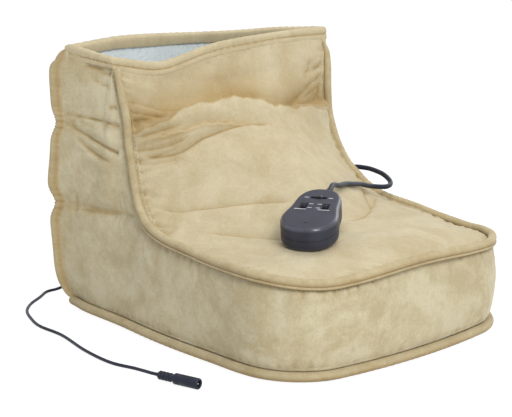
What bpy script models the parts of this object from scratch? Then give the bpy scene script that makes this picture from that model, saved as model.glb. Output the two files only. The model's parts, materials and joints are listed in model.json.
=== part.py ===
"""Heated foot massager: a quilted boot for both feet with a corded handset and a short supply lead.

Metres, +Z up. The toe points to -Y, the heel to +Y, and the origin is the middle of the footprint
on the floor. The padded shell is built from one form: rows across the instep, columns down the side
band and a back panel, each worked out at any depth below the seam line, so that cover, foam and
lining lie inside one another with a named gap.
"""
import math

import bpy
import bmesh
import numpy as np
from mathutils import Matrix, Vector
from mathutils.bvhtree import BVHTree

# Boot outline, measured to the centre of the seam piping
BODY_LENGTH = 0.330
BODY_WIDTH = 0.292
CUFF_HEIGHT = 0.254
TOE_HEIGHT = 0.086
TOE_CORNER_RADIUS = 0.069
TOE_BOW = 0.005
BACK_BOW = 0.008

# Layers of the wall, and the clearance that neighbours keep
GAP = 0.0003
SEAM_GAP = 0.00025
COVER_THICKNESS = 0.0016
FOAM_THICKNESS = 0.0070
LINING_THICKNESS = 0.0030
SEAM_ALLOWANCE = 0.004
OVERRUN = 0.004

# Piping, binding and quilting
PIPING_RADIUS = 0.0040
BASE_PIPING_RADIUS = 0.0045
BASE_PIPING_LIFT = 0.0005
BINDING_THICKNESS = 0.0015
BINDING_CLEARANCE = 0.0007
BINDING_INNER_CLEARANCE = 0.0012
BINDING_LIFT = 0.0011
INNER_FOLD_SHARE = 0.75
BINDING_HEIGHT = 0.010
BINDING_ROUND = 0.0012
FLANGE_WIDTH = 0.0080
FLANGE_THICKNESS = 0.0042
QUILT_LOW = 0.108
QUILT_HIGH = 0.187
QUILT_WIDTH = 0.011
SIDE_PUFF = 0.0070
BACK_PUFF = 0.0080
CORNER_PUFF = 0.0110
INSTEP_PUFF = 0.0025
FOLD_HEIGHT = 0.0070
FOLD_WIDTH = 0.0090
RIM_DIP = 0.013

# Sole: base cover, foam block, heater and the two vibration modules
SOLE_THICKNESS = 0.028
HEATER_THICKNESS = 0.0015
HEATER_SIDE_MARGIN = 0.036
HEATER_TOE_MARGIN = 0.035
HEATER_HEEL_MARGIN = 0.095
MODULE_DIAMETER = 0.044
MODULE_HEIGHT = 0.024
MODULE_WALL = 0.002
MODULE_LIP = 0.003
MODULE_SIDE_SETBACK = 0.086
MODULE_TOE_SETBACK = 0.120
MOTOR_DIAMETER = 0.0155
MOTOR_LENGTH = 0.020
MOTOR_SHIFT = 0.005
SHAFT_DIAMETER = 0.002
SHAFT_LENGTH = 0.014
WEIGHT_RADIUS = 0.0070
WEIGHT_THICKNESS = 0.0060
CRADLE_WALL = 0.0020
CRADLE_SPACING = 0.011
CHANNEL_WIDTH = 0.0064
WIRE_DIAMETER = 0.0024
CUTOUT_LENGTH = 0.016
CUTOUT_WIDTH = 0.008
CUTOUT_HEIGHT = 0.004
CUTOUT_SPACING = 0.035
JUNCTION_LENGTH = 0.034
JUNCTION_WIDTH = 0.024
JUNCTION_HEIGHT = 0.014
JUNCTION_SETBACK = 0.080
JUNCTION_WALL = 0.0016

# Grommets where the two leads leave the boot
GROMMET_NECK = 0.0070
GROMMET_FLANGE = 0.0120
GROMMET_FLANGE_THICKNESS = 0.0016
GROMMET_NOSE_LENGTH = 0.010
GROMMET_DEPTH = 0.0060
GROMMET_STAND = 0.0008
GROMMET_ROOM = 0.012
GROMMET_NOSE_WALL = 0.0012
SUPPLY_COLUMN = 1
CONTROL_COLUMN = 4

# Routes of the wires in the sole
WIRE_BEND = 0.0025
SPLICE_X = 0.012
SUPPLY_TURN_SETBACK = 0.030
CUTOUT_X = 0.040
HEATER_WIRE_SPACING = 0.009

# Handset
HANDSET_LENGTH = 0.092
HANDSET_THICKNESS = 0.022
HANDSET_NEAR_WIDTH = 0.0545
HANDSET_WAIST_WIDTH = 0.0440
HANDSET_FAR_WIDTH = 0.0455
HANDSET_SPLIT = 0.0095
HANDSET_WALL = 0.0020
HANDSET_EDGE_ROUND = 0.0040
HANDSET_SPLIT_GAP = 0.0004
HANDSET_SQUARENESS = 2.6
HANDSET_FOOT_DRAW = 0.0020
NEAR_SCREW_SETBACK = 0.0085
FAR_SCREW_SETBACK = 0.0095
BOARD_MARGIN = 0.0010
BOARD_END_CLEARANCE = 0.0005
BOARD_THICKNESS = 0.0016
BOARD_LEVEL = 0.0105
BOSS_DIAMETER = 0.0060
SCREW_SHANK = 0.0024
SCREW_HEAD = 0.0048
SCREW_HEAD_HEIGHT = 0.0018
SCREW_RECESS = 0.0030
SCREW_BITE = 0.0035
SCREW_SLOT_WIDTH = 0.0007
SCREW_SLOT_DEPTH = 0.0006
RECESS_DEPTH = 0.0009
RECESS_MARGIN = 0.0012
MODE_SLOT_LENGTH = 0.0150
MODE_SLOT_WIDTH = 0.0046
MODE_TRAVEL = 0.0040
MODE_SETBACK = 0.0095
POWER_SLOT_LENGTH = 0.0100
POWER_SLOT_WIDTH = 0.0056
POWER_TRAVEL = 0.0040
POWER_X = 0.0100
POWER_SPACING = 0.0190
KNOB_CLEARANCE = 0.0004
KNOB_PROUD = 0.0014
KNOB_GROOVE = 0.0004
SWITCH_WIDTH = 0.0066
SWITCH_END_WALL = 0.0016
SWITCH_SLOT_DEPTH = 0.0026
LED_DIAMETER = 0.0030
LED_SETBACK = 0.0085
LED_FLANGE = 0.0042
LED_FLANGE_THICKNESS = 0.0008
RELIEF_LENGTH = 0.022
RELIEF_ROOT_DIAMETER = 0.0088
RELIEF_TIP_DIAMETER = 0.0062
RELIEF_RIB_DEPTH = 0.0006
RELIEF_RIBS = 5
RELIEF_NECK = 0.0066
RELIEF_FLANGE = 0.0012
HANDSET_STAND = 0.0005
HANDSET_YAW = math.radians(-55.5)
HANDSET_PITCH = math.radians(10.0)

# Supply lead and its socket
DC_LEAD_DIAMETER = 0.0030
JACK_DIAMETER = 0.0098
JACK_LENGTH = 0.0250
JACK_BORE = 0.0060
JACK_BORE_DEPTH = 0.0110
JACK_PIN_DIAMETER = 0.0020
JACK_BOOT_LENGTH = 0.0180
JACK_BOOT_DIAMETER = 0.0078
JACK_BOOT_RIBS = 5
JACK_BOOT_TIP = 0.0044
JACK_EDGE_ROUND = 0.0006
JACK_RIB_DEPTH = 0.0007

# Handset lead
LEAD_DIAMETER = 0.0050
COIL_STANDOFF = 0.051
COIL_SETBACK = 0.095
COIL_RADIUS = 0.0325
COIL_PITCH = 0.0056
COIL_TURNS = 2.75
COIL_START = math.pi
TIE_WIDTH = 0.006
TIE_THICKNESS = 0.0012
TIE_CLEARANCE = 0.0004
TIE_ANGLE = math.radians(36)

# Places of the handset, of the supply socket's two ends and of the free leads between their ends, as
# shares of the half width, the half length and the height: 1 is the toe seam and 2 is the cuff rim
HANDSET_PLACE_SHARES = (-0.3014, -0.4788)
JACK_TAIL_SHARES = (-1.4411, -0.3758)
JACK_TIP_SHARES = (-1.3568, -0.6273)
SUPPLY_ROUTE_SHARES = (
    (-0.8322, 1.1515, 0.2093), (-0.8527, 1.2242, 0.0988), (-0.9007, 1.2727, 0.0349),
    (-0.9863, 1.2818, 0.0221), (-1.0918, 1.2145, 0.0209), (-1.2260, 1.1333, 0.0209),
    (-1.3308, 1.0285, 0.0209), (-1.3973, 0.8909, 0.0209), (-1.4390, 0.7400, 0.0209),
    (-1.4329, 0.5230, 0.0209), (-1.4870, 0.2267, 0.0209), (-1.4973, -0.0212, 0.0221),
    (-1.4589, -0.2000, 0.0349))
CONTROL_ROUTE_SHARES = (
    (0.1678, -0.1927, 1.2655), (0.2671, -0.1515, 1.2429), (0.4062, -0.0800, 1.2214),
    (0.5137, -0.0424, 1.2000), (0.6473, 0.0061, 1.1726), (0.7740, 0.0364, 1.1399),
    (0.8630, 0.0242, 1.1250), (0.9212, 0.0182, 1.1208), (0.9692, 0.0333, 1.1250),
    (1.0014, 0.0667, 1.1399), (1.0123, 0.1273, 1.1637), (1.0205, 0.2000, 1.1738),
    (1.0274, 0.2970, 1.1768), (0.9918, 0.3939, 1.1667), (0.9904, 0.4424, 1.0774),
    (1.0137, 0.4848, 0.9302), (1.0205, 0.5212, 0.6977), (1.0240, 0.5455, 0.4651),
    (1.0377, 0.5636, 0.2558), (1.0788, 0.5576, 0.1047))
# The same for the end of the handset lead beyond the coil, as shares of the coil's radius from its centre
TAIL_ROUTE_SHARES = (
    (-0.3385, 1.0154, 0.3200), (-0.5846, 1.1385, 0.4308), (-0.8154, 1.2769, 0.5692))

# How finely the form is sampled
ROUND_SIDES = 24
HANDSET_SIDES = 30
SMALL_SIDES = 12
SUPPLY_STEP = 0.0090
LEAD_STEP = 0.0100
LOOP_POINTS = 24
COIL_CLIMB_SHARE = 0.30

BINDING_ZONE = BINDING_HEIGHT + SEAM_ALLOWANCE / 2
HALF_LENGTH = BODY_LENGTH / 2
HALF_WIDTH = BODY_WIDTH / 2
RISE = CUFF_HEIGHT - TOE_HEIGHT
COVER_INSET = (PIPING_RADIUS + GAP) / math.sqrt(2)
COVER_BACK = COVER_INSET + COVER_THICKNESS
FOAM_OUT = COVER_BACK + GAP
FOAM_IN = FOAM_OUT + FOAM_THICKNESS
LINING_OUT = FOAM_IN + GAP
HEATER_WIDTH = BODY_WIDTH - 2 * HEATER_SIDE_MARGIN
HEATER_LENGTH = BODY_LENGTH - HEATER_TOE_MARGIN - HEATER_HEEL_MARGIN
HEATER_CENTRE_Y = (HEATER_TOE_MARGIN - HEATER_HEEL_MARGIN) / 2
MODULE_X = HALF_WIDTH - MODULE_SIDE_SETBACK
MODULE_Y = MODULE_TOE_SETBACK - HALF_LENGTH
JUNCTION_Y = HALF_LENGTH - JUNCTION_SETBACK
CUTOUT_Y = JUNCTION_Y - CUTOUT_SPACING
HEATER_WIRE_Y = JUNCTION_Y - HEATER_WIRE_SPACING
SUPPLY_TURN_Y = HALF_LENGTH - SUPPLY_TURN_SETBACK
COIL_CENTRE = Vector((HALF_WIDTH + COIL_STANDOFF, HALF_LENGTH - COIL_SETBACK, 0.0))
HANDSET_SCREW_Y = (NEAR_SCREW_SETBACK - HANDSET_LENGTH / 2, HANDSET_LENGTH / 2 - FAR_SCREW_SETBACK)
MODE_Y = HANDSET_SCREW_Y[1] - MODE_SETBACK
POWER_Y = MODE_Y - POWER_SPACING
LED_Y = HANDSET_SCREW_Y[0] + LED_SETBACK
BASE_PIPING_LEVEL = BASE_PIPING_LIFT + BASE_PIPING_RADIUS
WALL_BOTTOM = BASE_PIPING_LEVEL + BASE_PIPING_RADIUS * 0.84
SOLE_BOTTOM = COVER_THICKNESS + GAP
SOLE_TOP = SOLE_BOTTOM + SOLE_THICKNESS
HEATER_BOTTOM = SOLE_TOP + GAP
LINING_FLOOR = HEATER_BOTTOM + HEATER_THICKNESS + GAP

LEVEL_SHARE = 0.12
WIRE_LEVEL = WALL_BOTTOM + (QUILT_LOW - WALL_BOTTOM) * LEVEL_SHARE

# Toe corner rows by their angle round the corner, with the place of the middle of the row
CORNER_ANGLES = (0.0, math.pi / 8, math.pi / 4, math.pi * 3 / 8, math.pi / 2)
CORNER_RISE_SHARES = (0.0, 0.001, 0.004, 0.008, 0.012)
CORNER_CENTRE_Y_SHARES = (-1.0, -0.970, -0.920, -0.862, -0.800)
CORNER_CENTRE_RISE_SHARES = (0.0, 0.022, 0.042, 0.057, 0.068)
CORNER_POWERS = (2.0, 3.5, 3.5, 3.3, 3.0)

# Rows from the toe corner to the cuff, as shares of the half length, the rise and the half width
ROW_Y_SHARES = (-0.364, -0.152, 0.076, 0.228, 0.315, 0.377, 0.442, 0.490, 0.503, 0.512, 0.532, 0.552)
ROW_RISE_SHARES = (0.030, 0.054, 0.074, 0.113, 0.167, 0.229, 0.369, 0.510, 0.600, 0.687, 0.790, 0.870)
ROW_WIDTH_SHARES = (1.0, 0.997, 0.990, 0.981, 0.962, 0.942, 0.918, 0.905, 0.903, 0.906, 0.925, 0.938)
ROW_CENTRE_Y_SHARES = (-0.715, -0.630, -0.545, -0.352, -0.170, -0.024, 0.121, 0.255, 0.333, 0.400,
                       0.485, 0.527)
ROW_CENTRE_RISE_SHARES = (0.080, 0.089, 0.101, 0.161, 0.250, 0.357, 0.476, 0.583, 0.655, 0.714, 0.790,
                          0.870)
ROW_POWERS = (2.6, 2.2, 1.7, 1.5, 1.5, 1.5, 1.5, 1.5, 1.8, 2.2, 2.5, 2.5)
ROW_BASE_Y_SHARES = (-0.364, -0.152, 0.048, 0.194, 0.291, 0.364, 0.436, 0.503, 0.564, 0.618, 0.673,
                     0.709)
RIM_Y_SHARES = (0.569, 0.587)
RIM_CENTRE_Y_SHARES = (0.552, 0.576)
RIM_WIDTH_SHARES = (0.943, 0.943)
RIM_BASE_Y_SHARES = (0.745, 0.782)
RIM_POWER = 2.5
CUFF_BACK_Y_SHARE = 0.842
CUFF_BACK_WIDTH_SHARE = 1.060
RIM_SIDE_SHARES = (0.0, 0.5)

# Positions across the instep and the back, and up a wall between its quilting lines
ACROSS_SHARES = (-1.0, -0.85, -0.60, -0.30, 0.0, 0.30, 0.60, 0.85, 1.0)
FRONT_SHARES = ACROSS_SHARES[1:-1]
LOW_LEVEL_SHARES = (0.0, LEVEL_SHARE, 0.42, 0.72)
HANDSET_WIDTH_PLACE_SHARES = (0.22, 0.62, 0.88)
FOOT_SHARES = (0.25, 0.5, 0.75, 1.0)
MODULE_SPLIT_SHARE = 0.56
BOARD_POST_SHARES = (-0.1957, 0.1957)
UPPER_LEVEL_SHARES = (0.0, 1 / 3, 2 / 3)
LOW_QUILT_LIMIT_SHARE = 0.72
HIGH_QUILT_LIMIT_SHARE = 0.88
FILL_START_SHARE = 0.79
FILL_END_SHARE = 0.885
COARSE_LEVELS = (0, 2, 4, 7, 9, 10, 11)
FOAM_LEVELS = (0, 2, 4, 7, 9)
BINDING_LEVEL, RIM_LEVEL = 10, 11

# Shape of the folded ridge above the instep and of the dip in the front of the cuff
RIDGE_EDGE_SHARE = 0.600
RIDGE_PEAK_SHARE = 0.105
RIDGE_X_SHARE = -0.11
RIDGE_SPREAD_SHARE = 0.33
DIP_X_SHARE = -0.55
DIP_SPREAD_SHARE = 0.33

COLOURS = {
    "suede": ((0.62, 0.53, 0.31), 0.92, 0.0),
    "suede_trim": ((0.53, 0.41, 0.23), 0.92, 0.0),
    "fleece": ((0.60, 0.68, 0.72), 0.95, 0.0),
    "wadding": ((0.80, 0.78, 0.70), 0.95, 0.0),
    "base_cloth": ((0.12, 0.11, 0.10), 0.9, 0.0),
    "heater_felt": ((0.70, 0.66, 0.60), 0.9, 0.0),
    "housing": ((0.06, 0.06, 0.06), 0.55, 0.0),
    "motor_steel": ((0.55, 0.55, 0.56), 0.35, 1.0),
    "weight_brass": ((0.60, 0.48, 0.25), 0.40, 1.0),
    "handset": ((0.062, 0.062, 0.080), 0.42, 0.0),
    "knob": ((0.015, 0.015, 0.018), 0.5, 0.0),
    "board": ((0.03, 0.20, 0.08), 0.5, 0.0),
    "lens": ((0.25, 0.02, 0.02), 0.2, 0.0),
    "screw": ((0.45, 0.45, 0.46), 0.35, 1.0),
    "cable": ((0.040, 0.042, 0.060), 0.5, 0.0),
    "pin": ((0.70, 0.69, 0.66), 0.25, 1.0),
}


def clear_scene():
    """Remove every object, so that the model starts from nothing."""
    for item in list(bpy.data.objects):
        bpy.data.objects.remove(item, do_unlink=True)


def dress(item, kind):
    """Give an object its own material of the named kind."""
    colour, rough, metal = COLOURS[kind]
    made = bpy.data.materials.new(item.name + "_" + kind)
    made.use_nodes = True
    shader = made.node_tree.nodes["Principled BSDF"]
    shader.inputs["Base Color"].default_value = (*colour, 1.0)
    shader.inputs["Roughness"].default_value = rough
    shader.inputs["Metallic"].default_value = metal
    item.data.materials.clear()
    item.data.materials.append(made)
    return item


def weld(mesh):
    """Merge points that lie in one place and turn the faces outwards."""
    edit = bmesh.new()
    edit.from_mesh(mesh)
    bmesh.ops.remove_doubles(edit, verts=edit.verts, dist=GAP / 30)
    bmesh.ops.dissolve_degenerate(edit, edges=edit.edges, dist=GAP / 30)
    bmesh.ops.recalc_face_normals(edit, faces=edit.faces)
    edit.to_mesh(mesh)
    edit.free()


def mesh_object(name, points, faces, kind, smooth=True):
    """Make a welded mesh object with its faces turned outwards."""
    mesh = bpy.data.meshes.new(name)
    mesh.from_pydata([tuple(map(float, p)) for p in points], [], [tuple(map(int, f)) for f in faces])
    weld(mesh)
    if smooth:
        mesh.shade_smooth()
        mesh.set_sharp_from_angle(angle=math.radians(50))
    item = bpy.data.objects.new(name, mesh)
    bpy.context.scene.collection.objects.link(item)
    return dress(item, kind)


def grid_faces(rows, columns, start=0, flip=False):
    """Triangles of a grid of points, all split along the same diagonal."""
    faces = []
    for r in range(rows - 1):
        for c in range(columns - 1):
            a = start + r * columns + c
            b, d, e = a + 1, a + columns, a + columns + 1
            faces += [(a, e, b), (a, d, e)] if flip else [(a, b, e), (a, e, d)]
    return faces


def border(rows, columns, start=0):
    """Indices of the points round the edge of a grid, in order."""
    top = [start + c for c in range(columns)]
    right = [start + r * columns + columns - 1 for r in range(1, rows)]
    bottom = [start + (rows - 1) * columns + c for c in range(columns - 2, -1, -1)]
    left = [start + r * columns for r in range(rows - 2, 0, -1)]
    return top + right + bottom + left


def slab(name, outer, inner, kind):
    """Closed sheet between two grids of points of the same size."""
    rows, columns = outer.shape[:2]
    count = rows * columns
    points = np.concatenate([outer.reshape(-1, 3), inner.reshape(-1, 3)])
    faces = grid_faces(rows, columns) + grid_faces(rows, columns, count, True)
    edge = border(rows, columns)
    for i, a in enumerate(edge):
        b = edge[(i + 1) % len(edge)]
        faces += [(a, b, b + count), (a, b + count, a + count)]
    return mesh_object(name, points, faces, kind)


def prism(name, ring, low, high, kind):
    """Upright block with the outline of a ring of points."""
    count = len(ring)
    points = [(p[0], p[1], low) for p in ring] + [(p[0], p[1], high) for p in ring]
    faces = [tuple(reversed(range(count))), tuple(range(count, 2 * count))]
    faces += [(i, (i + 1) % count, (i + 1) % count + count, i + count) for i in range(count)]
    return mesh_object(name, points, faces, kind, smooth=False)


def sweep(name, sections, kind, closed):
    """Skin over equal closed sections, capped at both ends unless the run is a loop."""
    count, sides = len(sections), len(sections[0])
    points = [p for section in sections for p in section]
    faces = []
    for i in range(count if closed else count - 1):
        j = (i + 1) % count
        for k in range(sides):
            n = (k + 1) % sides
            a, b, c, d = i * sides + k, i * sides + n, j * sides + n, j * sides + k
            faces += [(a, b, c), (a, c, d)]
    if not closed:
        faces += [tuple(range(sides)), tuple(reversed(range((count - 1) * sides, count * sides)))]
    return mesh_object(name, points, faces, kind)


def turned(name, profile, kind, sides=ROUND_SIDES):
    """Solid of revolution about Z from (radius, height) points, closed at both ends on the axis."""
    angles = [2 * math.pi * i / sides for i in range(sides)]
    sections = [[(r * math.cos(a), r * math.sin(a), z) for a in angles] for r, z in profile]
    return sweep(name, sections, kind, closed=False)


def block(name, size, centre, kind):
    """Plain box by its size and centre."""
    x, y, z = (s / 2 for s in size)
    ring = [(-x, -y), (x, -y), (x, y), (-x, y)]
    points = [(cx + centre[0], cy + centre[1], cz + centre[2]) for cz in (-z, z) for cx, cy in ring]
    faces = [(3, 2, 1, 0), (4, 5, 6, 7), (0, 1, 5, 4), (1, 2, 6, 5), (2, 3, 7, 6), (3, 0, 4, 7)]
    return mesh_object(name, points, faces, kind, smooth=False)


def tube(name, points, diameter, kind, cyclic=False, resolution=2):
    """Round cord along a list of points, as a bevelled curve with filled caps."""
    curve = bpy.data.curves.new(name, "CURVE")
    curve.dimensions = "3D"
    curve.bevel_depth = diameter / 2
    curve.bevel_resolution = resolution
    curve.use_fill_caps = True
    line = curve.splines.new("POLY")
    line.points.add(len(points) - 1)
    for spot, place in zip(line.points, points):
        spot.co = (*place, 1.0)
    line.use_cyclic_u = cyclic
    item = bpy.data.objects.new(name, curve)
    bpy.context.scene.collection.objects.link(item)
    return dress(item, kind)


def combine(item, other, operation):
    """Apply a Boolean with another solid, and remove that solid."""
    change = item.modifiers.new(operation.lower(), "BOOLEAN")
    change.operation = operation
    change.solver = "EXACT"
    change.object = other
    bpy.context.view_layer.update()
    graph = bpy.context.evaluated_depsgraph_get()
    mesh = bpy.data.meshes.new_from_object(item.evaluated_get(graph))
    weld(mesh)
    item.modifiers.clear()
    item.data = mesh
    bpy.data.objects.remove(other, do_unlink=True)
    kept = item.data.materials[0]
    item.data.materials.clear()
    item.data.materials.append(kept)
    return item


def cut(item, *tools):
    """Cut each tool from a solid."""
    for tool in tools:
        combine(item, tool, "DIFFERENCE")
    return item


def join(item, *others):
    """Fuse other solids into one."""
    for other in others:
        combine(item, other, "UNION")
    return item


def cylinder(diameter, low, high, place=(0.0, 0.0, 0.0), axis="Z", sides=ROUND_SIDES):
    """Round cutter or boss between two heights along an axis through a place."""
    item = turned("cylinder", [(diameter / 2, low), (diameter / 2, high)], "housing", sides)
    turn = {"Z": Matrix(), "X": Matrix.Rotation(math.pi / 2, 4, "Y"),
            "Y": Matrix.Rotation(-math.pi / 2, 4, "X")}[axis]
    item.data.transform(Matrix.Translation(Vector(place)) @ turn)
    return item


def moved(item, matrix):
    """Place a finished mesh by a matrix, kept in its own points."""
    item.data.transform(matrix)
    item.data.update()
    return item


def catmull(points, step):
    """Smooth curve through places, with a point about every step along it."""
    places = [Vector(p) for p in points]
    ends = [2 * places[0] - places[1]] + places + [2 * places[-1] - places[-2]]
    fine = []
    for a, b, c, d in zip(ends, ends[1:], ends[2:], ends[3:]):
        for i in range(12):
            t = i / 12
            fine.append(((2 * b) + (c - a) * t + (2 * a - 5 * b + 4 * c - d) * t ** 2
                         + (3 * b - a - 3 * c + d) * t ** 3) / 2)
    fine.append(places[-1])
    lengths = np.cumsum([0.0] + [(q - p).length for p, q in zip(fine, fine[1:])])
    count = max(int(round(lengths[-1] / step)), 2)
    stops = np.linspace(0.0, lengths[-1], count + 1)
    array = np.array([tuple(p) for p in fine])
    return [Vector([float(np.interp(s, lengths, array[:, k])) for k in range(3)]) for s in stops]


def bump(offset, spread):
    """Smooth hump that is one at no offset."""
    return np.exp(-(offset / spread) ** 2)


class Rows:
    """Rows across the instep from the toe seam to the cuff rim, by shares of the boot's sizes."""

    def __init__(self):
        binding = BINDING_ZONE / RISE
        rise = CORNER_RISE_SHARES + ROW_RISE_SHARES + (1 - binding, 1.0)
        centre_rise = CORNER_CENTRE_RISE_SHARES + ROW_CENTRE_RISE_SHARES + (1 - binding, 1.0)
        centre_y = CORNER_CENTRE_Y_SHARES + ROW_CENTRE_Y_SHARES + RIM_CENTRE_Y_SHARES
        self.count = len(rise)
        self.corners = len(CORNER_ANGLES)
        self.edge_z = TOE_HEIGHT + RISE * np.array(rise)
        self.centre_z = TOE_HEIGHT + RISE * np.array(centre_rise)
        self.centre_y = HALF_LENGTH * np.array(centre_y)
        self.power = np.array(CORNER_POWERS + ROW_POWERS + (RIM_POWER, RIM_POWER))
        self.edge_y = HALF_LENGTH * np.array(ROW_Y_SHARES + RIM_Y_SHARES)
        self.width = HALF_WIDTH * np.array(ROW_WIDTH_SHARES + RIM_WIDTH_SHARES)
        self.base_y = HALF_LENGTH * np.array(ROW_BASE_Y_SHARES + RIM_BASE_Y_SHARES)
        edge_y = np.array([self.plan(k, 0.0)[1] for k in range(self.count)])
        self.edge_normal = self.normals(edge_y, self.edge_z)
        self.centre_normal = self.normals(self.centre_y, self.centre_z)

    @staticmethod
    def normals(y, z):
        """Outward normals of a profile in the YZ plane, one for each row."""
        dy, dz = np.gradient(y), np.gradient(z)
        size = np.hypot(dy, dz)
        return np.stack([-dz / size, dy / size], axis=-1)

    def plan(self, k, inset):
        """Half width and Y of the end of a row, drawn in by the inset."""
        if k < self.corners:
            angle, radius = CORNER_ANGLES[k], TOE_CORNER_RADIUS - inset
            x = HALF_WIDTH - TOE_CORNER_RADIUS + radius * math.sin(angle)
            return x, TOE_CORNER_RADIUS - HALF_LENGTH - radius * math.cos(angle)
        return self.width[k - self.corners] - inset, self.edge_y[k - self.corners]

    def base(self, k, inset):
        """Half width and Y of the foot of the column below a row."""
        if k < self.corners:
            return self.plan(k, inset)
        return HALF_WIDTH - inset, self.base_y[k - self.corners]

    def point(self, k, a, inset, depth, detail=0.0):
        """Point of the instep on row k, a from -1 at the left seam to 1 at the right one."""
        half, edge_y = self.plan(k, inset)
        crown = 1 - abs(a) ** self.power[k]
        pull = inset * max(0.0, 1 - k / (self.corners - 1))
        y = edge_y * (1 - crown) + (self.centre_y[k] + pull) * crown
        z = self.edge_z[k] * (1 - crown) + self.centre_z[k] * crown
        if k == 0:
            y -= TOE_BOW * (1 - a * a)
        normal = self.edge_normal[k] * (1 - crown) + self.centre_normal[k] * crown
        normal = normal / np.hypot(*normal)
        y, z = y - normal[0] * depth, z - normal[1] * depth
        x = a * half
        weight = np.clip((self.edge_z[k] / CUFF_HEIGHT - RIDGE_EDGE_SHARE) / (0.93 - RIDGE_EDGE_SHARE), 0, 1)
        z -= RIM_DIP * weight ** 2 * bump(x - DIP_X_SHARE * HALF_WIDTH, DIP_SPREAD_SHARE * HALF_WIDTH)
        if detail:
            push = detail * self.swell(k, a, x, z)
            y, z = y + normal[0] * push, z + normal[1] * push
        return np.array([x, y, z])

    def swell(self, k, a, x, z):
        """How far the padding stands out of the plain form: a low pillow and the folded ridge."""
        if k == 0 or k >= self.count - 2:
            return 0.0
        inside = 1 - abs(a) ** 8
        ridge_z = TOE_HEIGHT + RISE * (RIDGE_EDGE_SHARE + RIDGE_PEAK_SHARE * bump(
            x - RIDGE_X_SHARE * HALF_WIDTH, RIDGE_SPREAD_SHARE * HALF_WIDTH))
        return inside * (INSTEP_PUFF + FOLD_HEIGHT * bump(z - ridge_z, FOLD_WIDTH))


ROWS = Rows()


def column_ends(index, side, inset, drop):
    """Foot and top of a column of the side band.

    Columns run from the back corner (index 0) along the rim, then one for each row down to the toe
    seam.
    """
    turn = np.array([side, 1.0, 1.0])
    if index < len(RIM_SIDE_SHARES):
        share = RIM_SIDE_SHARES[index]
        last = ROWS.count - 1
        front = ROWS.point(last, side, inset, 0.0)
        back = np.array([side * (HALF_WIDTH * CUFF_BACK_WIDTH_SHARE - inset),
                         HALF_LENGTH * CUFF_BACK_Y_SHARE - inset, CUFF_HEIGHT])
        top = back + (front + np.array([0.0, inset, 0.0]) - back) * share
        foot_y = HALF_LENGTH - inset
        foot_y += (ROWS.base(last, inset)[1] - foot_y) * share
        return np.array([HALF_WIDTH - inset, foot_y, WALL_BOTTOM]) * turn, top
    k = ROWS.count - 1 - (index - len(RIM_SIDE_SHARES))
    x, y = ROWS.base(k, inset)
    return np.array([x, y, WALL_BOTTOM]) * turn, ROWS.point(k, side, inset, drop)


def front_ends(share, inset, drop):
    """Foot and top of a column across the front of the toe."""
    top = ROWS.point(0, share, inset, drop)
    x, y = ROWS.base(0, inset)
    return np.array([share * x, y - TOE_BOW * (1 - share * share), WALL_BOTTOM]), top


def levels(bottom, top):
    """Heights up a wall, with one on each quilting line and one where the binding starts."""
    height = CUFF_HEIGHT
    low = min(QUILT_LOW, LOW_QUILT_LIMIT_SHARE * top)
    high = min(QUILT_HIGH, HIGH_QUILT_LIMIT_SHARE * top)
    band = BINDING_ZONE if top > height - BINDING_ZONE / 2 else SEAM_ALLOWANCE
    start = max(bottom, 0.0)
    stops = [start + (low - start) * s for s in LOW_LEVEL_SHARES]
    stops += [low + (high - low) * s for s in UPPER_LEVEL_SHARES]
    stops += [high + (top - band - high) * s for s in UPPER_LEVEL_SHARES]
    return np.array(stops + [top - band, top])


def puff(z, bottom, top):
    """Share of the full swell of a wall at a height, pinched at the quilting lines."""
    t = np.clip((z - bottom) / (top - bottom), 0.0, 1.0)
    lobe = np.sqrt(np.maximum(np.sin(math.pi * t), 0.0))
    pinch = 0.62 * (bump(z - QUILT_LOW, QUILT_WIDTH) + bump(z - QUILT_HIGH, QUILT_WIDTH))
    return lobe * (1 - np.minimum(pinch, 1.0))


def outward(index, side):
    """Level direction in which a column of the side band swells, and how much of each swell."""
    rim = len(RIM_SIDE_SHARES)
    if index is None:
        return np.array([0.0, -1.0, 0.0]), 1.0, 0.0
    corner = max(0.0, 1 - index / rim) ** 1.5
    if index >= rim and ROWS.count - 1 - (index - rim) < ROWS.corners:
        angle = CORNER_ANGLES[ROWS.count - 1 - (index - rim)]
        return np.array([side * math.sin(angle), -math.cos(angle), 0.0]), 1.0, 0.0
    return np.array([side, 0.0, 0.0]), min(1.0, index / rim), corner


def crest(key, side):
    """Height of the seam or rim at the top of a column."""
    if side == 0.0:
        return TOE_HEIGHT
    return CUFF_HEIGHT if key < RIM_COUNT else ROWS.edge_z[ROWS.count - 1 - (key - RIM_COUNT)]


def wall_line(ends, push, bottom, picks, detail, peak):
    """Points up one column: straight from foot to top at each level's depth, then swollen."""
    foot, top = ends(0.0)
    stops = levels(bottom, top[2])
    direction, swell, corner = push
    limit = stops[BINDING_LEVEL] if top[2] > CUFF_HEIGHT - BINDING_ZONE / 2 else top[2]
    points = []
    for z in stops[list(picks)]:
        t = (z - foot[2]) / (top[2] - foot[2])
        low, high = ends(WALL_BOTTOM + t * (peak - WALL_BOTTOM))
        place = low + (high - low) * t
        if detail:
            amount = puff(z, bottom, limit)
            side = np.sign(foot[0]) or 1.0
            place = place + detail * amount * (SIDE_PUFF * swell * direction + CORNER_PUFF * corner
                                               * np.array([side, 1.0, 0.0]) / math.sqrt(2))
        points.append(place)
    return points


ALL_LEVELS = tuple(range(RIM_LEVEL + 1))
RIM_COUNT = len(RIM_SIDE_SHARES)
COLUMN_COUNT = RIM_COUNT + ROWS.count


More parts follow.
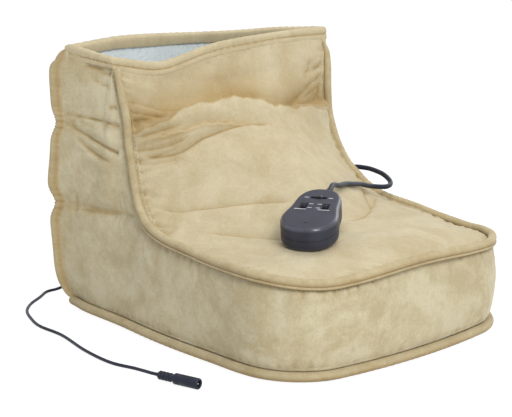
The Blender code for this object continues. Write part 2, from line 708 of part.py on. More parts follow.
def band_grid(inset_of, drop_of, bottom, picks=ALL_LEVELS, columns=None, detail=0.0):
    """Grid of the side band: one row of points for each column, left back corner round to right."""
    plan = [(-1.0, i) for i in range(COLUMN_COUNT)] + [(0.0, s) for s in FRONT_SHARES]
    plan += [(1.0, i) for i in reversed(range(COLUMN_COUNT))]
    lines = []
    for side, key in plan[columns] if columns else plan:
        def ends(height, side=side, key=key):
            inset, drop = inset_of(height), drop_of(height)
            return front_ends(key, inset, drop) if side == 0.0 else column_ends(key, side, inset, drop)
        push = outward(None if side == 0.0 else key, side)
        lines.append(wall_line(ends, push, bottom, picks, detail, crest(key, side)))
    return np.array(lines)


def instep_grid(inset_of, depth_of, across=ACROSS_SHARES, rows=None, detail=0.0):
    """Grid of the instep: one row of points for each row of the form."""
    chosen = range(ROWS.count) if rows is None else rows
    return np.array([[ROWS.point(k, a, inset_of(ROWS.edge_z[k]), depth_of(ROWS.edge_z[k]), detail)
                      for a in across] for k in chosen])


def back_grid(inset_of, side_inset_of, bottom, picks=ALL_LEVELS, across=ACROSS_SHARES, detail=0.0):
    """Grid of the back panel, hung between the two back corners."""
    stops = levels(bottom, CUFF_HEIGHT)[list(picks)]
    rows = []
    for z in stops:
        foot, top = column_ends(0, 1.0, inset_of(z), 0.0)
        corner = foot + (top - foot) * (z - WALL_BOTTOM) / (top[2] - WALL_BOTTOM)
        half = corner[0] + inset_of(z) - side_inset_of(z)
        lobe = puff(z, bottom, CUFF_HEIGHT - BINDING_ZONE)
        row = []
        for a in across:
            y = corner[1] + BACK_BOW * (1 - a * a) * min(1.0, z / QUILT_LOW)
            x = a * half
            edge = max(0.0, (abs(a) - 0.6) / 0.4) ** 2
            y += detail * lobe * (BACK_PUFF * (1 - abs(a) ** 6) + CORNER_PUFF * edge / math.sqrt(2))
            x += detail * lobe * CORNER_PUFF * edge / math.sqrt(2) * np.sign(a)
            row.append((x, y, z))
        rows.append(row)
    return np.array(rows)


def steady(value):
    """Depth that is the same at every height."""
    return lambda height: value


def thinned(full, thin):
    """Depth that drops from its full value to a thin one where the padding runs out at the rim."""
    def depth(height):
        start, end = TOE_HEIGHT + FILL_START_SHARE * RISE, TOE_HEIGHT + FILL_END_SHARE * RISE
        return full + (thin - full) * float(np.clip((height - start) / (end - start), 0.0, 1.0))
    return depth


def wall_ring(inset, height=WALL_BOTTOM):
    """Outline of the walls at a height, drawn in by the inset, in order."""
    band = band_grid(steady(inset), steady(inset), height, picks=(0,))[:, 0]
    back = back_grid(steady(inset), steady(inset), height, (0,), ACROSS_SHARES)[0]
    return [tuple(p) for p in band] + [tuple(p) for p in back[-2:0:-1]]


def make_covers():
    """Suede covers: side band, instep, back and base cloth, each a sheet with mitred edges."""
    deep = COVER_BACK
    band = [band_grid(steady(d), steady(d + SEAM_GAP), WALL_BOTTOM, detail=1.0)
            for d in (COVER_INSET, deep)]
    for grid in band:
        grid[0, :, 1] -= SEAM_GAP
        grid[-1, :, 1] -= SEAM_GAP
    cover = slab("side_band_cover", band[0], band[1], "suede")
    instep = [instep_grid(steady(d + SEAM_GAP), steady(d), detail=1.0) for d in (COVER_INSET, deep)]
    slab("instep_cover", instep[0], instep[1], "suede")
    back = [back_grid(steady(d), steady(d + 2 * SEAM_GAP), WALL_BOTTOM, detail=1.0)
            for d in (COVER_INSET, deep)]
    rear = slab("back_cover", back[0], back[1], "suede")
    clear = math.sqrt(BASE_PIPING_RADIUS ** 2 - (BASE_PIPING_LEVEL - COVER_THICKNESS) ** 2) + GAP
    prism("base_cover", wall_ring(clear), 0.0, COVER_THICKNESS, "base_cloth")
    return cover, rear, band[0], back[0], instep[0]


def make_trim(band, back):
    """Piping in the instep seam and round the base, and the flanges that bind the back corners."""
    last = ROWS.count - 2
    left = [ROWS.point(k, -1.0, 0.0, 0.0) for k in range(last, -1, -1)]
    front = [ROWS.point(0, s, 0.0, 0.0) for s in FRONT_SHARES]
    right = [ROWS.point(k, 1.0, 0.0, 0.0) for k in range(last + 1)]
    tube("instep_piping", left + front + right, 2 * PIPING_RADIUS, "suede_trim")
    ring = [(x, y, BASE_PIPING_LEVEL) for x, y, _ in wall_ring(0.0)]
    tube("base_piping", ring, 2 * BASE_PIPING_RADIUS, "suede_trim", cyclic=True)
    for name, side, edge in (("left", -1.0, band[0]), ("right", 1.0, band[-1])):
        edge = edge[:-1].copy()
        edge[0, 2] = BASE_PIPING_LEVEL + BASE_PIPING_RADIUS + GAP
        sections = [flange_section(place, side) for place in edge]
        sweep("edge_binding_" + name, sections, "suede_trim", closed=False)


def flange_section(place, side):
    """Rounded strip standing out diagonally from a back corner."""
    out = np.array([side, 1.0, 0.0]) / math.sqrt(2)
    along = np.array([-side, 1.0, 0.0]) / math.sqrt(2)
    near, far = SEAM_GAP + GAP, SEAM_GAP + GAP + FLANGE_WIDTH
    half = FLANGE_THICKNESS / 2
    shape = [(near, -half), (far - half, -half), (far, -half / 2), (far, half / 2), (far - half, half),
             (near, half)]
    return [place + out * o + along * w for o, w in shape]


def rim_point(kind, key, inset, drop):
    """Point on or below the cuff rim, at an inset through the wall and a drop down it."""
    if kind == "front":
        top = ROWS.point(ROWS.count - 1, key, inset, inset)
        low = ROWS.point(ROWS.count - 2, key, inset, inset)
    elif kind == "back":
        top = back_grid(steady(inset), steady(inset), WALL_BOTTOM, (RIM_LEVEL,), (key,))[0, 0]
        low = back_grid(steady(inset), steady(inset), WALL_BOTTOM, (BINDING_LEVEL,), (key,))[0, 0]
    else:
        low, top = column_ends(key, kind, inset, 0.0)
    down = (low - top) / np.linalg.norm(low - top)
    return top + down * drop


def make_cuff_binding():
    """Folded strip that wraps the rim of the cuff, a U standing over cover and lining."""
    outer = COVER_INSET - BINDING_CLEARANCE - BINDING_THICKNESS
    inner = COVER_BACK + GAP + LINING_THICKNESS + BINDING_INNER_CLEARANCE + BINDING_THICKNESS
    thick, lift, fold = BINDING_THICKNESS, BINDING_LIFT, BINDING_HEIGHT * INNER_FOLD_SHARE
    profile = [(outer, BINDING_HEIGHT), (outer, BINDING_ROUND - lift),
               (outer + BINDING_ROUND, -lift - thick), (inner - BINDING_ROUND, -lift - thick),
               (inner, BINDING_ROUND - lift), (inner, fold),
               (inner - thick, fold), (inner - thick, -lift),
               (outer + thick, -lift), (outer + thick, BINDING_HEIGHT)]
    stations = [("front", a) for a in ACROSS_SHARES]
    stations += [(1.0, 1)] + [("back", a) for a in reversed(ACROSS_SHARES)] + [(-1.0, 1)]
    sections = [[rim_point(kind, key, i, d) for i, d in profile] for kind, key in stations]
    sweep("cuff_binding", sections, "suede_trim", closed=True)


def trimmed(grid):
    """Same grid with its two end lines drawn in, so that panels end to end keep a gap."""
    grid = grid.copy()
    for end, near in ((0, 1), (-1, -2)):
        step = grid[near] - grid[end]
        grid[end] += step / np.linalg.norm(step, axis=-1, keepdims=True) * SEAM_GAP
    return grid


def make_padding():
    """Wadding behind the covers: two sides, toe, instep and back."""
    outer, inner = steady(FOAM_OUT), thinned(FOAM_IN, COVER_BACK)
    bottom = SOLE_TOP + GAP
    toe_start, toe_end = COLUMN_COUNT - ROWS.corners, COLUMN_COUNT + len(FRONT_SHARES) + ROWS.corners
    spans = (("side_padding_left", slice(0, toe_start + 1)), ("toe_padding", slice(toe_start, toe_end)),
             ("side_padding_right", slice(toe_end - 1, None)))
    for name, columns in spans:
        grids = [trimmed(band_grid(depth, thinned(LINING_OUT, FOAM_OUT), bottom, FOAM_LEVELS, columns))
                 for depth in (outer, inner)]
        slab(name, grids[0], grids[1], "wadding")
    rows = range(ROWS.count - 2)
    grids = [instep_grid(steady(FOAM_OUT), depth, ACROSS_SHARES, rows) for depth in (outer, inner)]
    slab("instep_padding", grids[0], grids[1], "wadding")
    side = thinned(LINING_OUT, FOAM_OUT)
    grids = [back_grid(depth, side, bottom, FOAM_LEVELS, ACROSS_SHARES) for depth in (outer, inner)]
    slab("back_padding", grids[0], grids[1], "wadding")


def lining_surface(extra, bottom):
    """One face of the lining bag: its grids, its floor and the ring of points round its mouth."""
    depth = thinned(LINING_OUT + extra, FOAM_OUT + extra)
    band = band_grid(depth, depth, bottom, COARSE_LEVELS)
    instep = instep_grid(depth, depth, ACROSS_SHARES)
    back = back_grid(depth, depth, bottom, COARSE_LEVELS, ACROSS_SHARES)
    floor = list(band[:, 0]) + list(back[0, -2:0:-1])
    mouth = list(instep[-1]) + [band[-2, -1]] + list(back[-1, ::-1]) + [band[1, -1]]
    return (band, instep, back), floor, mouth


def make_lining():
    """Fleece pocket for both feet: one bag, open at the cuff."""
    points, faces, mouths = [], [], []
    for extra, bottom, flip in ((0.0, LINING_FLOOR, False),
                                (LINING_THICKNESS, LINING_FLOOR + LINING_THICKNESS, True)):
        grids, floor, mouth = lining_surface(extra, bottom)
        for grid in grids:
            faces += grid_faces(*grid.shape[:2], len(points), flip)
            points += list(grid.reshape(-1, 3))
        faces.append(tuple(range(len(points), len(points) + len(floor))))
        points += floor
        mouths.append((len(points), len(mouth)))
        points += mouth
    (a, count), (b, _) = mouths
    for i in range(count):
        j = (i + 1) % count
        faces += [(a + i, a + j, b + j), (a + i, b + j, b + i)]
    mesh_object("foot_pocket_lining", points, faces, "fleece")


def channel(start, end):
    """Cutter for a wire channel in the sole, open to its top face."""
    low, high = WIRE_LEVEL - CHANNEL_WIDTH / 2, SOLE_TOP + OVERRUN
    size = [abs(e - s) + CHANNEL_WIDTH for s, e in zip(start, end)] + [high - low]
    centre = [(s + e) / 2 for s, e in zip(start, end)] + [(low + high) / 2]
    return block("channel", size, centre, "wadding")


def pocket(width, length, height, place):
    """Cutter for a box-shaped pocket in the top of the sole, a gap larger than what sits in it."""
    high = SOLE_TOP + OVERRUN
    low = SOLE_TOP - height - 2 * GAP
    return block("pocket", (width + 2 * GAP, length + 2 * GAP, high - low),
                 (place[0], place[1], (low + high) / 2), "wadding")


def make_sole(supply, control):
    """Sole block with pockets for the modules and the wiring, and the heater on top of it."""
    foot = wall_ring(FOAM_OUT)
    sole = sweep("sole_padding", [[(x, y, SOLE_BOTTOM) for x, y, _ in foot], foot,
                                  wall_ring(FOAM_OUT, SOLE_TOP)], "wadding", closed=False)
    floor = SOLE_TOP - MODULE_HEIGHT - 2 * GAP
    for side in (-1, 1):
        cut(sole, cylinder(MODULE_DIAMETER + 2 * GAP, floor, SOLE_TOP + OVERRUN,
                           (side * MODULE_X, MODULE_Y, 0.0)))
    join_back = JUNCTION_Y + JUNCTION_WIDTH / 2
    cut(sole, pocket(JUNCTION_LENGTH, JUNCTION_WIDTH, JUNCTION_HEIGHT, (0.0, JUNCTION_Y)),
        pocket(CUTOUT_LENGTH, CUTOUT_WIDTH, CUTOUT_HEIGHT, (CUTOUT_X, CUTOUT_Y)),
        channel((-MODULE_X, MODULE_Y), (MODULE_X, MODULE_Y)),
        channel((0.0, MODULE_Y), (0.0, JUNCTION_Y)),
        channel((CUTOUT_X, CUTOUT_Y), (CUTOUT_X, HEATER_WIRE_Y)),
        channel((0.0, HEATER_WIRE_Y), (CUTOUT_X, HEATER_WIRE_Y)),
        channel((-SPLICE_X, join_back), (-SPLICE_X, SUPPLY_TURN_Y)),
        channel((supply[0], SUPPLY_TURN_Y), (-SPLICE_X, SUPPLY_TURN_Y)),
        channel((supply[0], SUPPLY_TURN_Y), (supply[0], HALF_LENGTH)),
        channel((SPLICE_X, join_back), (SPLICE_X, control[1])),
        channel((SPLICE_X, control[1]), (HALF_WIDTH, control[1])))
    relief = GROMMET_NECK + 4 * GAP
    cut(sole, cylinder(relief, -GROMMET_ROOM, GROMMET_ROOM, supply, "Y", SMALL_SIDES),
        cylinder(relief, -GROMMET_ROOM, GROMMET_ROOM, control, "X", SMALL_SIDES))
    block("heater_pad", (HEATER_WIDTH, HEATER_LENGTH, HEATER_THICKNESS),
          (0.0, HEATER_CENTRE_Y, HEATER_BOTTOM + HEATER_THICKNESS / 2), "heater_felt")
    block("thermal_cutout", (CUTOUT_LENGTH, CUTOUT_WIDTH, CUTOUT_HEIGHT),
          (CUTOUT_X, CUTOUT_Y, SOLE_TOP - CUTOUT_HEIGHT / 2), "housing")
    make_junction()


def make_junction():
    """Splice box under the heel: a tray and a lid set into its mouth."""
    low = SOLE_TOP - JUNCTION_HEIGHT - GAP
    wall = JUNCTION_WALL
    inner = (JUNCTION_LENGTH - 2 * wall, JUNCTION_WIDTH - 2 * wall)
    tray = block("junction_box", (JUNCTION_LENGTH, JUNCTION_WIDTH, JUNCTION_HEIGHT - wall - GAP),
                 (0.0, JUNCTION_Y, low + (JUNCTION_HEIGHT - wall - GAP) / 2), "housing")
    cut(tray, block("hollow", (*inner, JUNCTION_HEIGHT),
                    (0.0, JUNCTION_Y, low + wall + JUNCTION_HEIGHT / 2), "housing"))
    lid = block("junction_lid", (JUNCTION_LENGTH, JUNCTION_WIDTH, wall),
                (0.0, JUNCTION_Y, low + JUNCTION_HEIGHT - wall / 2), "housing")
    join(lid, block("spigot", (inner[0] - 2 * GAP, inner[1] - 2 * GAP, wall + GAP),
                    (0.0, JUNCTION_Y, low + JUNCTION_HEIGHT - wall * 1.4), "housing"))


def make_wires(supply, control):
    """Insulated wires in the channels of the sole, from the splice box to what each one feeds."""
    front, rear = JUNCTION_Y - JUNCTION_WIDTH / 2 - GAP, JUNCTION_Y + JUNCTION_WIDTH / 2 + GAP
    z, lane, bend = WIRE_LEVEL, WIRE_DIAMETER / 2 + GAP, WIRE_BEND
    routes = {}
    for name, side in (("left", -1), ("right", 1)):
        routes["motor_wire_" + name] = [
            (side * (MODULE_X - MODULE_DIAMETER / 2 - GAP), MODULE_Y, z),
            (side * (lane + bend), MODULE_Y, z), (side * lane, MODULE_Y + bend, z), (side * lane, front, z)]
    level = SOLE_TOP - CUTOUT_HEIGHT / 2
    routes["heater_wire"] = [
        (JUNCTION_LENGTH / 2 + GAP, HEATER_WIRE_Y, z), (CUTOUT_X - bend, HEATER_WIRE_Y, z),
        (CUTOUT_X, HEATER_WIRE_Y - bend, z), (CUTOUT_X, CUTOUT_Y + CUTOUT_WIDTH, level),
        (CUTOUT_X, CUTOUT_Y + CUTOUT_WIDTH / 2 + GAP, level)]
    x, y = supply[0], SUPPLY_TURN_Y
    routes["supply_wire"] = [
        (-SPLICE_X, rear, z), (-SPLICE_X, y - bend, z), (-SPLICE_X - bend, y, z), (x + bend, y, z),
        (x, y + bend, z), (x, supply[1] - GROMMET_DEPTH - GAP, z)]
    y = control[1]
    routes["control_wire"] = [
        (SPLICE_X, rear, z), (SPLICE_X, y - bend, z), (SPLICE_X + bend, y, z),
        (control[0] - GROMMET_DEPTH - GAP, y, z)]
    for name, route in routes.items():
        tube(name, route, WIRE_DIAMETER, "cable", resolution=1)


def make_module(name, side):
    """Vibration module: cup, lid, motor in its cradle, and the eccentric weight on its shaft."""
    radius, wall = MODULE_DIAMETER / 2, MODULE_WALL
    bore, split, top = radius - wall, MODULE_HEIGHT * MODULE_SPLIT_SHARE, MODULE_HEIGHT
    axis = MODULE_HEIGHT / 2
    place = Vector((side * MODULE_X, MODULE_Y, SOLE_TOP - MODULE_HEIGHT - GAP))
    cup = turned("module_cup_" + name, [(radius, 0.0), (radius, split), (bore, split), (bore, wall)],
                 "housing")
    motor_hole = cylinder(MOTOR_DIAMETER + 2 * GAP, -radius, radius, (0.0, 0.0, axis), "X")
    cradle_size = (CRADLE_SPACING + CRADLE_WALL, MOTOR_DIAMETER + 2 * CRADLE_WALL, axis - wall / 2)
    cradle = block("cradle", cradle_size, (-MOTOR_SHIFT, 0.0, axis / 2 + wall / 4), "housing")
    cut(cradle, motor_hole, block("gap", (CRADLE_SPACING - CRADLE_WALL, MODULE_DIAMETER, MODULE_HEIGHT),
                                  (-MOTOR_SHIFT, 0.0, wall + MODULE_HEIGHT / 2), "housing"))
    join(cup, cradle)
    inner = bore - GAP
    lid = turned("module_lid_" + name, [(radius, top), (radius, split + GAP), (inner, split + GAP),
                                        (inner, split - MODULE_LIP), (inner - wall, split - MODULE_LIP),
                                        (inner - wall, top - wall)], "housing")
    can = cylinder(MOTOR_DIAMETER, -MOTOR_LENGTH / 2, MOTOR_LENGTH / 2, (-MOTOR_SHIFT, 0.0, axis), "X")
    can.name = "motor_" + name
    face = MOTOR_LENGTH / 2 - MOTOR_SHIFT
    cut(can, cylinder(SHAFT_DIAMETER + 2 * GAP, face + WEIGHT_THICKNESS + 2 * GAP - SHAFT_LENGTH, radius,
                      (0.0, 0.0, axis), "X", SMALL_SIDES))
    dress(can, "motor_steel")
    weight = cylinder(2 * WEIGHT_RADIUS, face + GAP, face + GAP + WEIGHT_THICKNESS, axis="X")
    weight.name = "weight_" + name
    cut(weight, block("flat", (MODULE_DIAMETER, MODULE_DIAMETER, WEIGHT_RADIUS),
                      (0.0, 0.0, WEIGHT_RADIUS / 2 + SHAFT_DIAMETER), "housing"))
    join(weight, cylinder(SHAFT_DIAMETER, face + WEIGHT_THICKNESS + 4 * GAP - SHAFT_LENGTH,
                          face + WEIGHT_THICKNESS + 4 * GAP, axis="X", sides=12))
    dress(weight, "weight_brass")
    for item in (cup, lid, can):
        item.location = place
    weight.location = place + Vector((0.0, 0.0, axis))


def grommet(name, lead, place, axis):
    """Flanged bush through a cover, with a tapered nose that the lead leaves."""
    neck, flange, thick = GROMMET_NECK / 2, GROMMET_FLANGE / 2, GROMMET_FLANGE_THICKNESS
    nose = lead / 2 + GROMMET_NOSE_WALL
    profile = [(neck, -GROMMET_DEPTH), (neck, 0.0), (flange, 0.0), (flange, thick * 0.7),
               (flange * 0.85, thick), (neck, thick * 1.2), (nose, thick + GROMMET_NOSE_LENGTH)]
    item = turned(name, profile, "cable", SMALL_SIDES)
    turn = Matrix.Rotation(math.pi / 2, 4, "Y") if axis == "X" else Matrix.Rotation(-math.pi / 2, 4, "X")
    return moved(item, Matrix.Translation(place) @ turn)


def handset_half_width(y, inset):
    """Half width of the handset's outline: wide near end, drawn-in waist, narrower far end."""
    share = y / HANDSET_LENGTH + 0.5
    def step(low, high):
        t = min(max((share - low) / (high - low), 0.0), 1.0)
        return t * t * (3 - 2 * t)
    near_share, waist_share, far_share = HANDSET_WIDTH_PLACE_SHARES
    width = HANDSET_NEAR_WIDTH + (HANDSET_WAIST_WIDTH - HANDSET_NEAR_WIDTH) * step(near_share, waist_share)
    width += (HANDSET_FAR_WIDTH - HANDSET_WAIST_WIDTH) * step(waist_share, far_share)
    return width / 2 - inset


def handset_ring(inset, z, count=HANDSET_SIDES, shorten=0.0):
    """Outline of the handset at a height: a superellipse whose width follows the waist."""
    power = 2 / HANDSET_SQUARENESS
    ring = []
    for i in range(count):
        angle = 2 * math.pi * (i + 0.5) / count
        across = math.copysign(abs(math.cos(angle)) ** power, math.cos(angle))
        along = math.copysign(abs(math.sin(angle)) ** power, math.sin(angle))
        y = (HANDSET_LENGTH / 2 - inset - shorten) * along
        ring.append((handset_half_width(y, inset) * across, y, z))
    return ring


def slot(length, width, low, high, place, turn=False):
    """Box cutter for a switch window, along X unless turned along Y."""
    size = (width, length, high - low) if turn else (length, width, high - low)
    return block("slot", size, (place[0], place[1], (low + high) / 2), "handset")


SWITCHES = (
    ("mode", (0.0, MODE_Y), MODE_SLOT_LENGTH, MODE_SLOT_WIDTH, 2 * MODE_TRAVEL, 0.0, False),
    ("heat", (-POWER_X, POWER_Y), POWER_SLOT_LENGTH, POWER_SLOT_WIDTH, POWER_TRAVEL, -0.5, True),
    ("massage", (POWER_X, POWER_Y), POWER_SLOT_LENGTH, POWER_SLOT_WIDTH, POWER_TRAVEL, -0.5, True),
)


def make_switch(name, place, length, width, travel, rest, turn):
    """Slide switch on the board and its ribbed knob in the window, at its place at rest."""
    board_top = BOARD_LEVEL + BOARD_THICKNESS + GAP
    body_top = HANDSET_THICKNESS - HANDSET_WALL - GAP
    body = slot(length + 2 * SWITCH_END_WALL, SWITCH_WIDTH, board_top, body_top, place, turn)
    body.name = name + "_switch_body"
    knob_length, knob_width = length - travel - 2 * KNOB_CLEARANCE, width - 2 * KNOB_CLEARANCE
    cut(body, slot(length, width, body_top - SWITCH_SLOT_DEPTH, body_top + OVERRUN, place, turn))
    dress(body, "housing")
    low, high = body_top - SWITCH_SLOT_DEPTH + GAP, HANDSET_THICKNESS + KNOB_PROUD
    half, groove = knob_length / 2, KNOB_GROOVE
    rib = knob_length / 7
    top = []
    for i in range(7):
        level = high if i % 2 == 0 else high - groove
        top += [(-half + i * rib, level), (-half + (i + 1) * rib, level)]
    outline = [(half, low), (-half, low)] + top
    points = [(u, v, z) for v in (-knob_width / 2, knob_width / 2) for u, z in outline]
    count = len(outline)
    faces = [tuple(range(count)), tuple(reversed(range(count, 2 * count)))]
    faces += [(i, (i + 1) % count, (i + 1) % count + count, i + count) for i in range(count)]
    knob = mesh_object(name + "_knob", points, faces, "knob", smooth=False)
    shift = rest * travel
    centre = Vector((place[0], place[1] + shift, 0.0)) if turn else Vector((place[0] + shift, place[1], 0.0))
    if turn:
        moved(knob, Matrix.Rotation(math.pi / 2, 4, "Z"))
    knob.location = centre
    return body, knob


def make_handset(frame):
    """Handset: two shells, board, three slide switches, lamp lens, screws and strain relief."""
    thick, wall, rnd = HANDSET_THICKNESS, HANDSET_WALL, HANDSET_EDGE_ROUND
    split_low, split_high = HANDSET_SPLIT - HANDSET_SPLIT_GAP / 2, HANDSET_SPLIT + HANDSET_SPLIT_GAP / 2
    arc = [(rnd * (1 - math.cos(a)), thick - rnd + rnd * math.sin(a))
           for a in (math.pi * i / 8 for i in range(5))]
    upper = sweep("handset_upper_shell", [handset_ring(i, z) for i, z in [(0.0, split_high)] + arc],
                  "handset", closed=False)
    cut(upper, sweep("hollow", [handset_ring(wall, split_high - OVERRUN), handset_ring(wall, thick - wall)],
                     "handset", closed=False))
    lower_edge = [(HANDSET_FOOT_DRAW, 0.0), (HANDSET_FOOT_DRAW * 0.3, HANDSET_FOOT_DRAW * 0.35),
                  (0.0, HANDSET_FOOT_DRAW)]
    lower = sweep("handset_lower_shell", [handset_ring(i, z) for i, z in lower_edge + [(0.0, split_low)]],
                  "handset", closed=False)
    cut(lower, sweep("hollow", [handset_ring(wall, wall), handset_ring(wall, split_low + OVERRUN)],
                     "handset", closed=False))
    pieces = [upper, lower]
    for y in HANDSET_SCREW_Y:
        spot = (0.0, y, 0.0)
        boss = cylinder(BOSS_DIAMETER, split_high, thick - wall / 2, spot, sides=SMALL_SIDES)
        join(upper, boss)
        cut(upper, cylinder(SCREW_SHANK + 2 * GAP, 0.0, split_high + SCREW_BITE + GAP, spot,
                            sides=SMALL_SIDES))
        join(lower, cylinder(BOSS_DIAMETER, wall / 2, split_low, spot, sides=SMALL_SIDES))
        cut(lower, cylinder(SCREW_SHANK + 2 * GAP, -OVERRUN, thick, spot, sides=SMALL_SIDES),
            cylinder(SCREW_HEAD + 2 * GAP, -OVERRUN, SCREW_RECESS, spot, sides=SMALL_SIDES))
    for share in BOARD_POST_SHARES:
        spot = (0.0, share * HANDSET_LENGTH, 0.0)
        join(lower, cylinder(BOSS_DIAMETER, wall / 2, BOARD_LEVEL - GAP, spot, sides=SMALL_SIDES))
    inset = wall + BOARD_MARGIN
    shorten = FAR_SCREW_SETBACK + BOSS_DIAMETER / 2 + BOARD_END_CLEARANCE - inset
    board_ring = handset_ring(inset, 0.0, shorten=shorten)
    pieces.append(prism("handset_board", board_ring, BOARD_LEVEL, BOARD_LEVEL + BOARD_THICKNESS, "board"))
    for name, place, length, width, travel, rest, turn in SWITCHES:
        cut(upper, slot(length, width, thick - wall - OVERRUN / 2, thick + OVERRUN, place, turn))
        if turn:
            cut(upper, slot(length + 2 * RECESS_MARGIN, width + 2 * RECESS_MARGIN, thick - RECESS_DEPTH,
                            thick + OVERRUN, place, turn))
        pieces += make_switch(name, place, length, width, travel, rest, turn)
    cut(upper, cylinder(LED_DIAMETER + 2 * GAP, thick - wall - OVERRUN / 2, thick + OVERRUN,
                        (0.0, LED_Y, 0.0), sides=SMALL_SIDES))
    ceiling, lamp = thick - wall - GAP, LED_DIAMETER / 2
    pieces.append(moved(turned("lamp_lens", [
        (lamp, BOARD_LEVEL + BOARD_THICKNESS + GAP), (lamp, ceiling - LED_FLANGE_THICKNESS),
        (LED_FLANGE / 2, ceiling - LED_FLANGE_THICKNESS), (LED_FLANGE / 2, ceiling), (lamp, ceiling),
        (lamp, thick), (lamp * 0.6, thick + GAP)], "lens", SMALL_SIDES),
        Matrix.Translation((0.0, LED_Y, 0.0))))
    for name, y in zip(("near", "far"), HANDSET_SCREW_Y):
        pieces.append(make_screw("handset_screw_" + name, y, split_high + SCREW_BITE))
    pieces.append(make_relief(upper, lower))
    holder = bpy.data.objects.new("handset_frame", None)
    bpy.context.scene.collection.objects.link(holder)
    holder.matrix_world = frame
    for piece in pieces:
        piece.parent = holder


def handset_matrix(instep):
    """Where the handset lies: at its place on the instep, lowered until its foot nearly touches."""
    rows, columns = instep.shape[:2]
    surface = BVHTree.FromPolygons([Vector(p) for p in instep.reshape(-1, 3)], grid_faces(rows, columns))
    turn = Matrix.Rotation(HANDSET_YAW, 4, "Z") @ Matrix.Rotation(HANDSET_PITCH, 4, "X")
    across, along = HANDSET_PLACE_SHARES
    frame = Matrix.Translation((across * HALF_WIDTH, along * HALF_LENGTH, CUFF_HEIGHT)) @ turn
    foot = [(x * s, y * s, 0.0) for x, y, _ in handset_ring(HANDSET_FOOT_DRAW, 0.0) for s in FOOT_SHARES]
    tip = HANDSET_LENGTH / 2 + RELIEF_LENGTH
    foot.append((0.0, tip, HANDSET_SPLIT - RELIEF_TIP_DIAMETER / 2))
    drops = []
    for spot in foot:
        start = frame @ Vector(spot)
        drops.append(start.z - surface.ray_cast(start, Vector((0.0, 0.0, -1.0)))[0].z)
    return Matrix.Translation((0.0, 0.0, HANDSET_STAND - min(drops))) @ frame


def make_screw(name, y, top):
    """Slotted screw that holds the two shells together from below."""
    floor = SCREW_RECESS - GAP
    head = floor - SCREW_HEAD_HEIGHT
    screw = turned(name, [(SCREW_HEAD * 0.4, head), (SCREW_HEAD / 2, head + SCREW_HEAD_HEIGHT / 3),
                          (SCREW_HEAD / 2, floor), (SCREW_SHANK / 2, floor), (SCREW_SHANK / 2, top - GAP)],
                   "screw", SMALL_SIDES)
    cut(screw, block("slot", (SCREW_HEAD * 1.2, SCREW_SLOT_WIDTH, 2 * SCREW_SLOT_DEPTH),
                     (0.0, 0.0, head), "screw"))
    return moved(screw, Matrix.Translation((0.0, y, 0.0)))


def make_relief(upper, lower):
    """Ribbed strain relief at the far end, held between the shells by its inner flange."""
    end, neck = HANDSET_LENGTH / 2, RELIEF_NECK / 2
    root, tip = RELIEF_ROOT_DIAMETER / 2, RELIEF_TIP_DIAMETER / 2
    inside = end - HANDSET_WALL - RELIEF_FLANGE - 2 * GAP
    profile = [(root, inside), (root, inside + RELIEF_FLANGE), (neck, inside + RELIEF_FLANGE),
               (neck, end + GAP)]
    steps = 2 * RELIEF_RIBS
    for i in range(steps + 1):
        z = end + GAP + RELIEF_LENGTH * i / steps
        radius = root + (tip - root) * i / steps
        profile.append((radius - (RELIEF_RIB_DEPTH if i % 2 else 0.0), z))
    profile[-1] = (tip, profile[-1][1])
    relief = turned("handset_strain_relief", profile, "cable", SMALL_SIDES)
    moved(relief, Matrix.Translation((0.0, 0.0, HANDSET_SPLIT)) @ Matrix.Rotation(-math.pi / 2, 4, "X"))
    for shell in (upper, lower):
        cut(shell, cylinder(RELIEF_NECK + 2 * GAP, end - HANDSET_WALL * 2, end + OVERRUN,
                            (0.0, 0.0, HANDSET_SPLIT), "Y", SMALL_SIDES))
    return relief


def placed(across, along, height=0.0):
    """Place from its shares of the half width, the half length and the height."""
    level = TOE_HEIGHT * min(height, 1.0) + RISE * max(height - 1.0, 0.0)
    return Vector((across * HALF_WIDTH, along * HALF_LENGTH, level))


def jack_line():
    """Start and direction of the socket's axis as it lies on the floor."""
    start, tip = placed(*JACK_TAIL_SHARES), placed(*JACK_TIP_SHARES)
    return start + Vector((0.0, 0.0, JACK_DIAMETER / 2)), (tip - start).normalized()


def make_jack():
    """Round supply socket on the end of the lead: ribbed boot, body and centre pin."""
    tail, axis = jack_line()
    place = Matrix.Translation(tail) @ axis.to_track_quat("Z", "Y").to_matrix().to_4x4()
    boot = [(JACK_BOOT_TIP / 2, 0.0)]
    steps = 2 * JACK_BOOT_RIBS
    for i in range(1, steps + 1):
        radius = (JACK_BOOT_TIP + (JACK_BOOT_DIAMETER - JACK_BOOT_TIP) * i / steps) / 2
        boot.append((radius - (JACK_RIB_DEPTH if i % 2 else 0.0), JACK_BOOT_LENGTH * i / steps))
    moved(turned("jack_boot", boot, "cable", SMALL_SIDES), place)
    start, radius = JACK_BOOT_LENGTH + GAP, JACK_DIAMETER / 2
    end = start + JACK_LENGTH
    edge = radius - JACK_EDGE_ROUND
    body = [(edge, start), (radius, start + JACK_EDGE_ROUND), (radius, end - JACK_EDGE_ROUND), (edge, end),
            (JACK_BORE / 2, end), (JACK_BORE / 2, end - JACK_BORE_DEPTH)]
    moved(turned("jack_body", body, "cable"), place)
    low = end - JACK_BORE_DEPTH + GAP
    pin = [(JACK_PIN_DIAMETER / 2, low), (JACK_PIN_DIAMETER / 2, end - JACK_PIN_DIAMETER),
           (JACK_PIN_DIAMETER / 4, end - JACK_PIN_DIAMETER / 2)]
    moved(turned("jack_pin", pin, "pin", 12), place)


